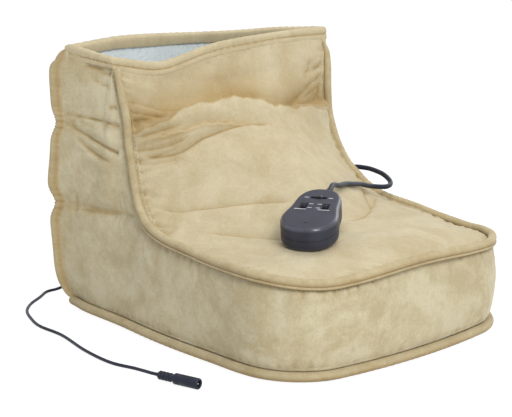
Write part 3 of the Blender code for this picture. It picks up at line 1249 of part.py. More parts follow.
def supply_lead(supply, outlet):
    """Thin lead from the grommet on the back, round behind the boot, to the socket's boot."""
    start = supply + Vector((0.0, outlet, 0.0))
    tail, axis = jack_line()
    end, lead = tail - axis * GAP, DC_LEAD_DIAMETER
    ends = [start, start + Vector((0.0, lead, 0.0))], [end - axis * 2 * lead, end - axis * lead, end]
    between = [placed(*spot) for spot in SUPPLY_ROUTE_SHARES]
    route = catmull([ends[0][1], *between, ends[1][0]], SUPPLY_STEP)
    tube("supply_lead", [start, *route, *ends[1][1:]], lead, "cable", resolution=1)


def coil_point(turn):
    """Place on the coil after a number of turns: wound inwards below, then outwards on top."""
    half = COIL_TURNS / 2
    climb = min(max((turn - half) / COIL_CLIMB_SHARE + 0.5, 0.0), 1.0)
    angle = COIL_START + 2 * math.pi * turn
    radius = COIL_RADIUS - COIL_PITCH * (half - abs(turn - half))
    low = TIE_CLEARANCE + TIE_THICKNESS + GAP + LEAD_DIAMETER / 2
    level = low + COIL_PITCH * climb * climb * (3 - 2 * climb)
    return COIL_CENTRE + Vector((radius * math.cos(angle), radius * math.sin(angle), level))


def make_coil():
    """Spare length of the handset lead, wound in two layers and held by a tie."""
    count = round(COIL_TURNS * LOOP_POINTS)
    points = [coil_point(COIL_TURNS * i / count) for i in range(count + 1)]
    first, last = (points[0] - points[1]).normalized(), (points[-1] - points[-2]).normalized()
    first.z = last.z = 0.0
    points = [points[0] + first * LEAD_DIAMETER, *points, points[-1] + last * LEAD_DIAMETER]
    tube("control_lead_coil", points, LEAD_DIAMETER, "cable", resolution=1)
    clear = LEAD_DIAMETER / 2 + TIE_CLEARANCE
    turns = (TIE_ANGLE - COIL_START) / (2 * math.pi)
    spots = [coil_point(t) for t in np.arange(turns % 1.0, COIL_TURNS, 1.0)]
    radii = [(spot - COIL_CENTRE).xy.length for spot in spots]
    low, high = min(p.z for p in spots) - clear, max(p.z for p in spots) + clear
    inner, outer = min(radii) - clear, max(radii) + clear
    size, place = (outer - inner, TIE_WIDTH, high - low), ((inner + outer) / 2, 0.0, (low + high) / 2)
    wall = 2 * TIE_THICKNESS
    tie = block("coil_tie", (size[0] + wall, size[1], size[2] + wall), place, "cable")
    cut(tie, block("hole", (size[0], 2 * size[1], size[2]), place, "cable"))
    moved(tie, Matrix.Translation(COIL_CENTRE) @ Matrix.Rotation(TIE_ANGLE, 4, "Z"))
    report_gap(points)
    return points


def report_gap(points):
    """Print the least clear distance between turns of the coil."""
    array = np.array([tuple(p) for p in points])
    apart = np.linalg.norm(array[:, None] - array[None], axis=-1)
    index = np.arange(len(array))
    far = np.abs(index[:, None] - index[None]) > LOOP_POINTS // 2
    print("least gap between turns of the coil:", round(float(apart[far].min()) - LEAD_DIAMETER, 5))


def control_lead(frame, control, outlet, coil):
    """Handset lead: over the instep and the right seam to the coil, and from the coil to its grommet."""
    lead = LEAD_DIAMETER
    tip = HANDSET_LENGTH / 2 + 2 * GAP + RELIEF_LENGTH
    start, straight = (frame @ Vector((0.0, tip + d, HANDSET_SPLIT)) for d in (0.0, lead))
    into = (coil[1] - coil[0]).normalized()
    end = coil[0] - into * GAP
    between = [placed(*spot) for spot in CONTROL_ROUTE_SHARES]
    route = catmull([straight, *between, end - into * lead], LEAD_STEP)
    tube("control_lead", [start, *route, end], lead, "cable", resolution=1)
    out = (coil[-1] - coil[-2]).normalized()
    begin, finish = coil[-1] + out * GAP, control + Vector((outlet, 0.0, 0.0))
    between = [COIL_CENTRE + COIL_RADIUS * Vector(spot) for spot in TAIL_ROUTE_SHARES]
    route = catmull([begin + out * lead, *between, finish + Vector((lead, 0.0, 0.0))], LEAD_STEP)
    tube("control_lead_tail", [begin, *route, finish], lead, "cable", resolution=1)


def main():
    """Build the whole object."""
    clear_scene()
    cover, rear, band, back, instep = make_covers()
    make_trim(band, back)
    make_cuff_binding()
    make_padding()
    make_lining()
    supply = Vector(back[1, SUPPLY_COLUMN]) + Vector((0.0, GROMMET_STAND, 0.0))
    control = Vector(band[-1 - CONTROL_COLUMN, 1]) + Vector((GROMMET_STAND, 0.0, 0.0))
    supply.z = control.z = WIRE_LEVEL
    hole = GROMMET_NECK + 2 * GAP
    cut(rear, cylinder(hole, -GROMMET_ROOM, GROMMET_ROOM, supply, "Y", SMALL_SIDES))
    cut(cover, cylinder(hole, -GROMMET_ROOM, GROMMET_ROOM, control, "X", SMALL_SIDES))
    grommet("supply_grommet", DC_LEAD_DIAMETER, supply, "Y")
    grommet("control_grommet", LEAD_DIAMETER, control, "X")
    make_sole(supply, control)
    make_wires(supply, control)
    make_module("left", -1)
    make_module("right", 1)
    frame = handset_matrix(instep)
    make_handset(frame)
    make_jack()
    outlet = GROMMET_FLANGE_THICKNESS + GROMMET_NOSE_LENGTH + GAP
    supply_lead(supply, outlet)
    control_lead(frame, control, outlet, make_coil())


main()
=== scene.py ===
"""Looks of the heated foot massager: a quilted suede boot with a corded handset and a supply lead.

Metres, +Z up, toe towards -Y. The padded shell is one form: rows across the instep, columns down the
side band and a back panel, worked out as whole arrays at any depth, then swollen and creased.
"""
import json
import logging
import math
from dataclasses import dataclass, field
from enum import Enum
from functools import cached_property
from typing import Callable, Optional, Sequence

import bmesh
import bpy
import numpy as np
from mathutils import Matrix, Vector

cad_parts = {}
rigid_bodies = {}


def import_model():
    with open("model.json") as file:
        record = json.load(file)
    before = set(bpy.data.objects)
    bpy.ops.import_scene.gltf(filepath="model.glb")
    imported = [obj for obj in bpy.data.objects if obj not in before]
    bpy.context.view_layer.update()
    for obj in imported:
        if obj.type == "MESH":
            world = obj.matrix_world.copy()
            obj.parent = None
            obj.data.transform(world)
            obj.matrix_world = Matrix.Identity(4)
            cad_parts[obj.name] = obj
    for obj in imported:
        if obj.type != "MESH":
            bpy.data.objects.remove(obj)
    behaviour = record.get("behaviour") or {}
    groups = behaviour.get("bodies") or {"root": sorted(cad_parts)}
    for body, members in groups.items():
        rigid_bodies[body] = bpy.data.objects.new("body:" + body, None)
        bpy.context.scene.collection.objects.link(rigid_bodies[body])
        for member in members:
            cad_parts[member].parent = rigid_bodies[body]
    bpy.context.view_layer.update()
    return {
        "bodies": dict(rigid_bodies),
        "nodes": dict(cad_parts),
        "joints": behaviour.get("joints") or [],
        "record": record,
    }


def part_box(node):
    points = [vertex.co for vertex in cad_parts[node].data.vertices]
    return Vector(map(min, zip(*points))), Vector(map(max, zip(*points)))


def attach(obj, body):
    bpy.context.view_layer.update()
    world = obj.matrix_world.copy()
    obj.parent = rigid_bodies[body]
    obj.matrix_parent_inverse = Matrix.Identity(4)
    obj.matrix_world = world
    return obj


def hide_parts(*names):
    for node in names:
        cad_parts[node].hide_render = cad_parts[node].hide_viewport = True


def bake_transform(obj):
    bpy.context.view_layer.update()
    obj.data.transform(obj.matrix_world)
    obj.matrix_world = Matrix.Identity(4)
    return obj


LOG = logging.getLogger("foot_massager")
MM = 0.001
WHITE = (1.0, 1.0, 1.0)
Points = np.ndarray


# Arrays


def hump(offset: Points, spread: float) -> Points:
    """Smooth hump: e to the minus square of offset over spread."""
    return np.exp(-(offset / spread) ** 2)


def crease(offset: Points, spread: float) -> Points:
    """Sharp groove: e to the minus distance over spread, with its tip rounded over half a millimetre."""
    return np.exp(-(np.sqrt(offset ** 2 + 0.0005 ** 2) - 0.0005) / spread)


def smooth(value: Points, low: float, high: float) -> Points:
    """Step that rises smoothly from 0 at low to 1 at high, as 3t squared less 2t cubed."""
    t = np.clip((value - low) / (high - low), 0.0, 1.0)
    return t * t * (3 - 2 * t)


def squared(value: Points, power: float) -> Points:
    """Sine or cosine raised to a power with its sign kept, which squares off a round section."""
    return np.sign(value) * np.abs(value) ** power


def unit(vectors: Points) -> Points:
    """Vectors divided by their own length."""
    return vectors / np.maximum(np.linalg.norm(vectors, axis=-1, keepdims=True), 1e-12)


def spline(points: Points, at: Points, closed: bool = False) -> Points:
    """Catmull-Rom curve through points, for each parameter counted in points.

    Args:
        points: places along the first axis, with any further axes.
        at: parameters from 0 to the last index, or to the count on a closed curve.
        closed: whether the last point joins the first.

    Returns:
        One place for each parameter.
    """
    count = len(points)
    if closed:
        index = np.floor(at).astype(int)
        a, b, c, d = (points[(index + k) % count] for k in (-1, 0, 1, 2))
    else:
        ends = np.concatenate([2 * points[:1] - points[1:2], points, 2 * points[-1:] - points[-2:-1]])
        index = np.clip(np.floor(at).astype(int), 0, count - 2)
        a, b, c, d = (ends[index + k] for k in range(4))
    t = (at - index).reshape((-1,) + (1,) * (points.ndim - 1))
    return ((2 * b) + (c - a) * t + (2 * a - 5 * b + 4 * c - d) * t ** 2
            + (3 * b - a - 3 * c + d) * t ** 3) / 2


def broken_spline(points: Points, at: Points, breaks: Sequence[int]) -> Points:
    """Catmull-Rom curve that keeps a corner at each of the broken indices."""
    stops = [0, *breaks, len(points) - 1]
    result = np.empty((len(at),) + points.shape[1:])
    for low, high in zip(stops, stops[1:]):
        chosen = (at >= low) & (at <= high)
        result[chosen] = spline(points[low:high + 1], at[chosen] - low)
    return result


def even(points: Points, count: int, breaks: Sequence[int] = ()) -> Points:
    """Parameters of a run of points that lie about evenly along its mean length."""
    fine = np.linspace(0, len(points) - 1, 12 * len(points))
    path = broken_spline(points, fine, breaks)
    steps = np.linalg.norm(np.diff(path, axis=0), axis=-1)
    steps = steps.reshape(len(steps), -1).mean(axis=1)
    length = np.concatenate([[0.0], np.cumsum(steps)])
    return np.interp(np.linspace(0, length[-1], count), length, fine)


def run_length(points: Points) -> Points:
    """Length from the start to each point of a run."""
    steps = np.linalg.norm(np.diff(points, axis=0), axis=-1)
    return np.concatenate([[0.0], np.cumsum(steps)])


def points_at(stops: Points, length: Points, run: Points) -> Points:
    """Points, or directions, of a run at stops along its length."""
    return np.stack([np.interp(stops, length, run[:, k]) for k in range(3)], axis=-1)


def spaced(points: Points, step: float) -> Points:
    """Smooth curve through places with a point about every step."""
    fine = spline(points, np.linspace(0, len(points) - 1, 40 * len(points)))
    length = run_length(fine)
    stops = np.linspace(0, length[-1], max(int(round(length[-1] / step)), 2) + 1)
    return points_at(stops, length, fine)


def dense_ends(count: int, share: float = 0.32) -> Points:
    """Shares from 0 to 1, closer together towards both ends.

    Each is t less the share times the sine of 2 pi t over 2 pi.
    """
    t = np.linspace(0, 1, count)
    return t - share * np.sin(2 * math.pi * t) / (2 * math.pi)


def grid_normals(grid: Points) -> Points:
    """Unit normals of a grid: the cross product of its differences along columns and rows."""
    return unit(np.cross(np.gradient(grid, axis=0), np.gradient(grid, axis=1)))


def ripple(points: Points, wave: float, seed: int) -> Points:
    """Soft unevenness from -1 to 1: the mean of nine sine waves in fixed directions."""
    source = np.random.default_rng(seed)
    ways = unit(source.normal(size=(9, 3)))
    lengths = wave * source.uniform(0.6, 1.7, 9)
    phases = source.uniform(0, 2 * math.pi, 9)
    return np.sin(2 * math.pi * (points @ ways.T) / lengths + phases).mean(axis=-1) * 1.6


# Meshes


def grid_quads(rows: int, columns: int, start: int = 0, wrap_rows: bool = False,
               wrap_columns: bool = False) -> Points:
    """Corner indices of the quads of a grid of points, with its edges joined where it wraps."""
    r = np.arange(rows if wrap_rows else rows - 1)[:, None]
    c = np.arange(columns if wrap_columns else columns - 1)[None]
    nr, nc = (r + 1) % rows, (c + 1) % columns
    quads = np.stack(np.broadcast_arrays(r * columns + c, nr * columns + c, nr * columns + nc,
                                         r * columns + nc), axis=-1)
    return quads.reshape(-1, 4) + start


def new_object(name: str, points: Points, faces: list, sharp: float = 40.0,
               shade: Optional[Points] = None) -> bpy.types.Object:
    """Mesh object with its faces outwards.

    Args:
        name: the piece's name.
        points: places, three numbers each.
        faces: lists of corner indices.
        sharp: angle in degrees past which an edge is drawn sharp.
        shade: how much painted shade darkens the colour at each point, from 0 to 1; on the handset it is how
            polished its worn edges are.

    Returns:
        The object, at the origin.
    """
    mesh = bpy.data.meshes.new(name)
    mesh.from_pydata(points.reshape(-1, 3).tolist(), [], faces)
    if shade is not None:
        layer = mesh.attributes.new("shade", "FLOAT", "POINT")
        layer.data.foreach_set("value", shade.ravel().astype(np.float32))
    edit = bmesh.new()
    edit.from_mesh(mesh)
    bmesh.ops.remove_doubles(edit, verts=edit.verts, dist=1e-6)
    bmesh.ops.recalc_face_normals(edit, faces=edit.faces)
    edit.to_mesh(mesh)
    edit.free()
    mesh.shade_smooth()
    mesh.set_sharp_from_angle(angle=math.radians(sharp))
    made = bpy.data.objects.new(name, mesh)
    bpy.context.scene.collection.objects.link(made)
    LOG.info("%s: %d faces", name, len(mesh.polygons))
    return made


def slab_faces(rows: int, columns: int, start: int = 0) -> Points:
    """Quads of a closed sheet: an outer grid, an inner one after it, and the strip round their edge."""
    count = rows * columns
    index = np.arange(count).reshape(rows, columns) + start
    rim = np.concatenate([index[0, :-1], index[:-1, -1], index[-1, :0:-1], index[:0:-1, 0]])
    after = np.roll(rim, -1)
    faces = (grid_quads(rows, columns, start), grid_quads(rows, columns, start + count)[:, ::-1],
             np.stack([rim, rim + count, after + count, after], axis=-1))
    return np.concatenate(faces)


def slab(name: str, outer: Points, inner: Points, shade: Optional[Points] = None) -> bpy.types.Object:
    """Closed sheet between two grids of the same size, with the painted shade of its outer face."""
    points = np.concatenate([outer.reshape(-1, 3), inner.reshape(-1, 3)])
    both = None if shade is None else np.concatenate([shade.ravel(), np.zeros(shade.size)])
    return new_object(name, points, slab_faces(*outer.shape[:2]).tolist(), shade=both)


def skin(name: str, grid: Points, closed: bool = False, sharp: float = 40.0,
         shade: Optional[Points] = None) -> bpy.types.Object:
    """Skin over equal closed sections along the rows of a grid, capped at both ends if it is open."""
    rows, columns = grid.shape[:2]
    faces = grid_quads(rows, columns, 0, closed, True).tolist()
    if not closed:
        faces += [list(range(columns)), list(range(rows * columns - 1, (rows - 1) * columns - 1, -1))]
    return new_object(name, grid, faces, sharp, shade)


def turned(name: str, profile: Sequence[tuple[float, float]], place: Matrix, sides: int = 48,
           sharp: float = 35.0) -> bpy.types.Object:
    """Turned solid: each (radius, height) of the profile carried round the Z axis, then placed."""
    radius, height = np.array(profile).T
    angle = np.linspace(0, 2 * math.pi, sides, endpoint=False)
    grid = np.stack([radius[:, None] * np.cos(angle), radius[:, None] * np.sin(angle),
                     np.repeat(height[:, None], sides, axis=1)], axis=-1)
    made = skin(name, grid, sharp=sharp)
    made.data.transform(place)
    return made


def pipe(path: Points, outward: Points, radius: Callable[[Points, Points], Points], sides: int,
         closed: bool = False) -> Points:
    """Grid of a round cord: at each place, the radius times cosine outwards and sine across.

    Args:
        path: places along the middle of the cord.
        outward: a direction away from the boot at each place.
        radius: radius for the length along the path and the angle round it.
        sides: how many points round the cord.
        closed: whether the path is a loop.

    Returns:
        A grid of points, one section for each place.
    """
    step = np.roll(path, -1, axis=0) - np.roll(path, 1, axis=0) if closed else np.gradient(path, axis=0)
    along = unit(step)
    across = unit(np.cross(along, outward))
    out = np.cross(across, along)
    angle = np.linspace(0, 2 * math.pi, sides, endpoint=False)
    size = radius(run_length(path)[:, None], angle[None])[..., None]
    return path[:, None] + size * (np.cos(angle)[None, :, None] * out[:, None]
                                   + np.sin(angle)[None, :, None] * across[:, None])


# The form of the boot

CORNER_ANGLES = np.arange(5) * math.pi / 8
RISE_SHARES = (0.0, 0.001, 0.004, 0.008, 0.012, 0.030, 0.054, 0.074, 0.113, 0.167, 0.229, 0.369, 0.510,
               0.600, 0.687, 0.790, 0.870)
CENTRE_RISE_SHARES = (0.0, 0.022, 0.042, 0.057, 0.068, 0.080, 0.089, 0.101, 0.161, 0.250, 0.357, 0.476,
                      0.583, 0.655, 0.714, 0.790, 0.870)
CENTRE_Y_SHARES = (-1.0, -0.970, -0.920, -0.862, -0.800, -0.715, -0.630, -0.545, -0.352, -0.170, -0.024,
                   0.121, 0.255, 0.333, 0.400, 0.485, 0.527, 0.552, 0.576)
POWERS = (2.0, 3.5, 3.5, 3.3, 3.0, 2.6, 2.2, 1.7, 1.5, 1.5, 1.5, 1.5, 1.5, 1.8, 2.2, 2.5, 2.5, 2.5, 2.5)
EDGE_Y_SHARES = (-0.364, -0.152, 0.076, 0.228, 0.315, 0.377, 0.442, 0.490, 0.503, 0.512, 0.532, 0.552,
                 0.569, 0.587)
WIDTH_SHARES = (1.0, 0.997, 0.990, 0.981, 0.962, 0.942, 0.918, 0.905, 0.903, 0.906, 0.925, 0.938, 0.943,
                0.943)
FOOT_Y_SHARES = (-0.364, -0.152, 0.048, 0.194, 0.291, 0.364, 0.436, 0.503, 0.564, 0.618, 0.673, 0.709,
                 0.745, 0.782)
FRONT_SHARES = np.array([-0.85, -0.60, -0.30, 0.0, 0.30, 0.60, 0.85])
FIRST_SIDE, LAST_SIDE = 2, 46


@dataclass(frozen=True)
class Shifts:
    """Largest soft shifts of the stuffed boot, from its plain form to the one that it settles in."""

    rim_up: float = 0.0030
    rim_right_up: float = 0.0030
    rim_left_up: float = 0.0085
    rim_corner_down: float = 0.0045
    rim_corner_out: float = 0.0060
    rim_right_out: float = 0.0040
    toe_seam_up: float = 0.0062
    left_seam_up: float = 0.0050
    right_seam_down: float = 0.0040
    right_seam_in: float = 0.0040
    heel_in: float = 0.0050
    left_foot_out: float = 0.0070
    back_sides_out: float = 0.0032
    toe_foot_in: float = 0.0040


SHIFTS = Shifts()


@dataclass(frozen=True)
class Boot:
    """Sizes of the padded shell and the form that every layer of it follows."""

    half_length: float = 0.165
    half_width: float = 0.146
    cuff: float = 0.254
    toe: float = 0.086
    corner_radius: float = 0.069
    toe_bow: float = 0.005
    back_bow: float = 0.008
    rim_dip: float = 0.013
    foot: float = 0.00878
    binding_zone: float = 0.012
    quilt_low: float = 0.108
    quilt_high: float = 0.187
    quilt_width: float = 0.011
    side_puff: float = 0.0070
    back_puff: float = 0.0080
    corner_puff: float = 0.0140
    corner_top_puff: float = 0.0045
    instep_puff: float = 0.0025
    cuff_back_y: float = 0.842
    cuff_back_width: float = 1.060

    @property
    def rise(self) -> float:
        """Height from the toe seam to the cuff rim."""
        return self.cuff - self.toe

    def settle(self, points: Points) -> Points:
        """Soft shape that the stuffed boot takes: the same smooth shift for every layer.

        The rim stands up towards the back, mostly on the left, its two back corners sink and lean out,
        and its right front corner leans out. The toe seam is lifted between its corners, and the right
        seam lies lower and further in. At the foot the heel's corners and the right toe corner are drawn
        in, the left wall bulges, and the sides swell near the back. Each shift is its largest value times
        humps of the distance from a place and smooth steps along the axes.
        """
        most = SHIFTS
        x, y, z = np.moveaxis(points, -1, 0)
        high = np.clip((z / self.cuff - 0.55) / 0.45, 0, None) ** 2
        front = most.rim_up + most.rim_right_up * smooth(x, -0.03, 0.10)
        back = most.rim_up + most.rim_left_up * smooth(-x, -0.08, 0.14)
        lift = front + (back - front) * smooth(y, 0.095, 0.140)
        corner = np.hypot(np.abs(x) - self.half_width * self.cuff_back_width,
                          y - self.half_length * self.cuff_back_y)
        lift = lift - most.rim_corner_down * hump(corner, 0.036)
        rim_right = smooth(z, 0.205, 0.250) * smooth(x, 0.09, 0.135) * smooth(-y, -0.130, -0.105)
        rim_out = most.rim_corner_out * hump(corner, 0.030) * smooth(z, 0.200, 0.250)
        seam = smooth(z, 0.045, 0.085) * smooth(-z, -0.140, -0.100)
        toe_seam = most.toe_seam_up * hump(np.hypot(x, y + 0.172), 0.072)
        left_seam = most.left_seam_up * hump(np.hypot(x + 0.146, y + 0.105), 0.052)
        right_seam = smooth(x, 0.08, 0.14) * smooth(y, -0.150, -0.090) * smooth(-y, -0.07, -0.02)
        z = z + lift * high + (toe_seam + left_seam - most.right_seam_down * right_seam) * seam
        x = x - (most.right_seam_in * smooth(x, 0.09, 0.14) * smooth(z, 0.11, 0.15)
                 * smooth(-y, -0.115, -0.09))
        low = np.clip(1 - z / 0.045, 0, 1)
        heel = np.hypot(np.abs(x) - self.half_width, y - self.half_length)
        tuck = most.heel_in * low ** 1.5 * hump(heel, 0.022)
        belly = most.left_foot_out * low * hump(y - 0.010, 0.085) * smooth(-x, 0.100, 0.145)
        sides = (most.back_sides_out * smooth(-z, -0.165, -0.120) * smooth(np.abs(x), 0.100, 0.145)
                 * smooth(y, 0.06, 0.14))
        toe_foot = most.toe_foot_in * low * smooth(x, 0.105, 0.146) * smooth(-y, 0.085, 0.150)
        x = x + np.sign(x) * (sides + rim_out - tuck) - belly - toe_foot + most.rim_right_out * rim_right
        return np.stack([x, y + rim_out - tuck, z], axis=-1)

    def rows(self, across: Points, inset: float, depth: float) -> Points:
        """Rows of the instep, toe seam to cuff rim.

        A row runs from its edge to its centre by the crown, one less the distance across to a power,
        and the whole is moved inwards along the profile's normals by the depth.

        Args:
            across: shares from -1 at the left seam to 1 at the right one.
            inset: how far the seams are drawn in.
            depth: how far below the surface.

        Returns:
            Points, one row for each of the 19 rows and one column for each share.
        """
        binding = self.binding_zone / self.rise
        rise = np.array(RISE_SHARES + (1 - binding, 1.0))
        centre_rise = np.array(CENTRE_RISE_SHARES + (1 - binding, 1.0))
        edge_z, centre_z = self.toe + self.rise * rise, self.toe + self.rise * centre_rise
        centre_y = self.half_length * np.array(CENTRE_Y_SHARES)
        half, edge_y = self.plan(inset)
        edge_n = self.profile_normals(self.plan(0.0)[1], edge_z)
        centre_n = self.profile_normals(centre_y, centre_z)
        crown = 1 - np.abs(across)[None] ** np.array(POWERS)[:, None]
        pull = inset * np.clip(1 - np.arange(len(rise)) / 4, 0, None)
        y = edge_y[:, None] * (1 - crown) + (centre_y + pull)[:, None] * crown
        z = edge_z[:, None] * (1 - crown) + centre_z[:, None] * crown
        y[0] -= self.toe_bow * (1 - across ** 2)
        normal = unit(edge_n[:, None] * (1 - crown)[..., None] + centre_n[:, None] * crown[..., None])
        y, z = y - normal[..., 0] * depth, z - normal[..., 1] * depth
        x = across[None] * half[:, None]
        weight = np.clip((edge_z / self.cuff - 0.6) / 0.33, 0, 1)[:, None]
        z = z - self.rim_dip * weight ** 2 * hump(x + 0.55 * self.half_width, 0.33 * self.half_width)
        return np.stack([x, y, z], axis=-1)

    @staticmethod
    def profile_normals(y: Points, z: Points) -> Points:
        """Outward normals of a profile in the YZ plane."""
        return unit(np.stack([-np.gradient(z), np.gradient(y)], axis=-1))

    def plan(self, inset: float) -> tuple[Points, Points]:
        """Half width and Y of the ends of the rows, drawn in by the inset."""
        radius = self.corner_radius - inset
        x = self.half_width - self.corner_radius + radius * np.sin(CORNER_ANGLES)
        y = self.corner_radius - self.half_length - radius * np.cos(CORNER_ANGLES)
        return (np.concatenate([x, self.half_width * np.array(WIDTH_SHARES) - inset]),
                np.concatenate([y, self.half_length * np.array(EDGE_Y_SHARES)]))

    def columns(self, inset: float, drop: float) -> tuple[Points, Points]:
        """Feet and tops of the columns of the side band, left back corner round to the right one."""
        x, y = self.plan(inset)
        foot_y = np.concatenate([y[:5], self.half_length * np.array(FOOT_Y_SHARES)])
        foot_x = np.concatenate([x[:5], np.full(14, self.half_width - inset)])
        sides = []
        for side in (-1.0, 1.0):
            tops = self.rows(np.array([side]), inset, drop)[::-1, 0]
            feet = np.stack([side * foot_x, foot_y, np.full(19, self.foot)], axis=-1)[::-1]
            last = self.rows(np.array([side]), inset, 0.0)[-1, 0] + np.array([0.0, inset, 0.0])
            corner = np.array([side * (self.half_width * self.cuff_back_width - inset),
                               self.half_length * self.cuff_back_y - inset, self.cuff])
            heel = np.array([side * (self.half_width - inset), self.half_length - inset, self.foot])
            share = np.array([[0.0], [0.5]])
            back_tops = corner + (last - corner) * share
            back_feet = heel + (np.array([heel[0], feet[0, 1], self.foot]) - heel) * share
            sides.append((np.concatenate([back_feet, feet]), np.concatenate([back_tops, tops])))
        front = self.rows(FRONT_SHARES, inset, drop)[0]
        bow = self.toe_bow * (1 - FRONT_SHARES ** 2)
        front_feet = np.stack([FRONT_SHARES * x[0], y[0] - bow, np.full(7, self.foot)], axis=-1)
        return (np.concatenate([sides[0][0], front_feet, sides[1][0][::-1]]),
                np.concatenate([sides[0][1], front, sides[1][1][::-1]]))

    def swell(self, z: Points, top: Points) -> Points:
        """Share of the full swell of a wall: the root of a half sine, pinched at the quilting lines."""
        t = np.clip((z - self.foot) / (top - self.foot), 0.0, 1.0)
        lobe = np.sqrt(np.maximum(np.sin(math.pi * t), 0.0))
        pinch = 0.42 * (hump(z - self.quilt_low, self.quilt_width)
                        + hump(z - self.quilt_high, self.quilt_width))
        return lobe * (1 - np.minimum(pinch, 1.0))

    def corner_swell(self, z: Points, amount: Points) -> Points:
        """Swell at a back corner: more of it high up, so that the corner stands out to the rim."""
        top = smooth(z, 0.100, 0.200) * (0.35 + 0.65 * smooth(-z, -self.cuff, -self.cuff + 0.020))
        return self.corner_puff * amount + self.corner_top_puff * top

    def pushes(self) -> tuple[Points, Points, Points]:
        """For each column: its level direction outwards, its share of swell, and of corner swell."""
        angle = np.concatenate([np.full(16, math.pi / 2), CORNER_ANGLES[::-1]])
        swell = np.concatenate([[0.0, 0.5], np.ones(19)])
        corner = np.concatenate([[1.0, 0.354], np.zeros(19)])
        zero = np.zeros_like(angle)
        left = np.stack([-np.sin(angle), -np.cos(angle), zero], axis=-1)
        right = left * np.array([-1.0, 1.0, 1.0])
        front = np.tile([0.0, -1.0, 0.0], (7, 1))
        return (np.concatenate([left, front, right[::-1]]),
                np.concatenate([swell, np.ones(7), swell[::-1]])[:, None],
                np.concatenate([corner, np.zeros(7), corner[::-1]])[:, None])

    def band(self, columns: int, levels: int, inset: float, full: float = 1.0, bottom: float = 0.0,
             ceiling: float = 1.0) -> Points:
        """Grid of the side band.

        Each column runs straight from foot to top, and is pushed outwards by the swell of its height.

        Args:
            columns: points along the band.
            levels: points up it.
            inset: depth below the seam lines and the instep.
            full: share of the swell.
            bottom: height at which it starts, if above the foot of the wall.
            ceiling: height at which it ends, if below the top of the wall.

        Returns:
            Points, one row for each column.
        """
        feet, tops = self.columns(inset, inset)
        at = even(np.stack([feet, tops], axis=1), 600, (FIRST_SIDE, LAST_SIDE))
        at = np.interp(dense_ends(columns), np.linspace(0, 1, 600), at)
        feet, tops = (broken_spline(p, at, (FIRST_SIDE, LAST_SIDE)) for p in (feet, tops))
        ways, swell, corner = (np.stack([np.interp(at, np.arange(len(v)), c) for c in v.T], axis=-1)
                               for v in self.pushes())
        tall = tops[:, 2] - feet[:, 2]
        low, high = (np.clip((level - self.foot) / tall, 0, 1)[:, None, None] for level in (bottom, ceiling))
        fine = np.linspace(0, 1, 400)
        dense = np.cumsum(1 + 1.2 * hump(fine - 0.68, 0.17))
        steps = np.interp(np.linspace(dense[0], dense[-1], levels), dense, fine)
        share = low + (high - low) * steps[None, :, None]
        points = feet[:, None] + (tops - feet)[:, None] * share
        rim = np.where(tops[:, 2] > self.cuff - self.binding_zone / 2, self.binding_zone, 0.0)
        z = points[..., 2]
        amount = self.swell(z, (tops[:, 2] - rim)[:, None])
        side = np.where(feet[:, 0] < 0, -1.0, 1.0)
        slant = np.stack([side, np.ones_like(side), np.zeros_like(side)], axis=-1) / math.sqrt(2)
        push = (self.side_puff * amount[..., None] * (swell * unit(ways))[:, None]
                + (self.corner_swell(z, amount) * corner)[..., None] * slant[:, None])
        return self.settle(points + full * push)

    def back(self, across: int, levels: int, inset: float, full: float = 1.0,
             bottom: float = 0.0, ceiling: float = 1.0) -> Points:
        """Grid of the back panel, hung between the corners and bowed: one row for each height."""
        shares = np.linspace(-1, 1, across)[None]
        z = np.linspace(max(bottom, self.foot), min(ceiling, self.cuff), levels)[:, None]
        feet, tops = self.columns(inset, 0.0)
        corner = feet[-1] + (tops[-1] - feet[-1]) * (z - self.foot) / (self.cuff - self.foot)
        amount = self.swell(z, np.array(self.cuff - self.binding_zone))
        edge = np.clip((np.abs(shares) - 0.6) / 0.4, 0, None) ** 2
        slant = full * self.corner_swell(z, amount) * edge / math.sqrt(2)
        y = corner[:, 1:2] + self.back_bow * (1 - shares ** 2) * np.minimum(1.0, z / self.quilt_low)
        y = y + full * self.back_puff * amount * (1 - shares ** 6) + slant
        x = shares * corner[:, :1] + slant * np.sign(shares)
        return self.settle(np.stack([x, y, np.broadcast_to(z, x.shape)], axis=-1))

    def instep(self, across: int, along: int, inset: float, full: float = 1.0,
               length: float = 1.0) -> Points:
        """Grid of the instep, one row for each place across and one column for each place up it."""
        shares = np.sin(np.linspace(-1, 1, across) * math.pi / 2) * 0.35 + np.linspace(-1, 1, across) * 0.65
        rows = self.rows(shares, inset + SEAM_GAP, inset)
        fine = np.linspace(0, 1, 400)
        dense = np.cumsum(1 + 1.1 * hump(fine - 0.66, 0.13))
        places = np.interp(np.linspace(0, length, along), (dense - dense[0]) / (dense[-1] - dense[0]), fine)
        at = np.interp(places, np.linspace(0, 1, 400), even(rows[:, ::8], 400))
        grid = spline(rows, at)
        pillow = full * self.instep_puff * (1 - np.abs(shares) ** 8)[None, :, None]
        fade = np.sin(math.pi * np.clip(places, 0, 1))[:, None, None] ** 0.5
        grid = grid - pillow * fade * grid_normals(grid)
        return self.settle(grid.transpose(1, 0, 2))

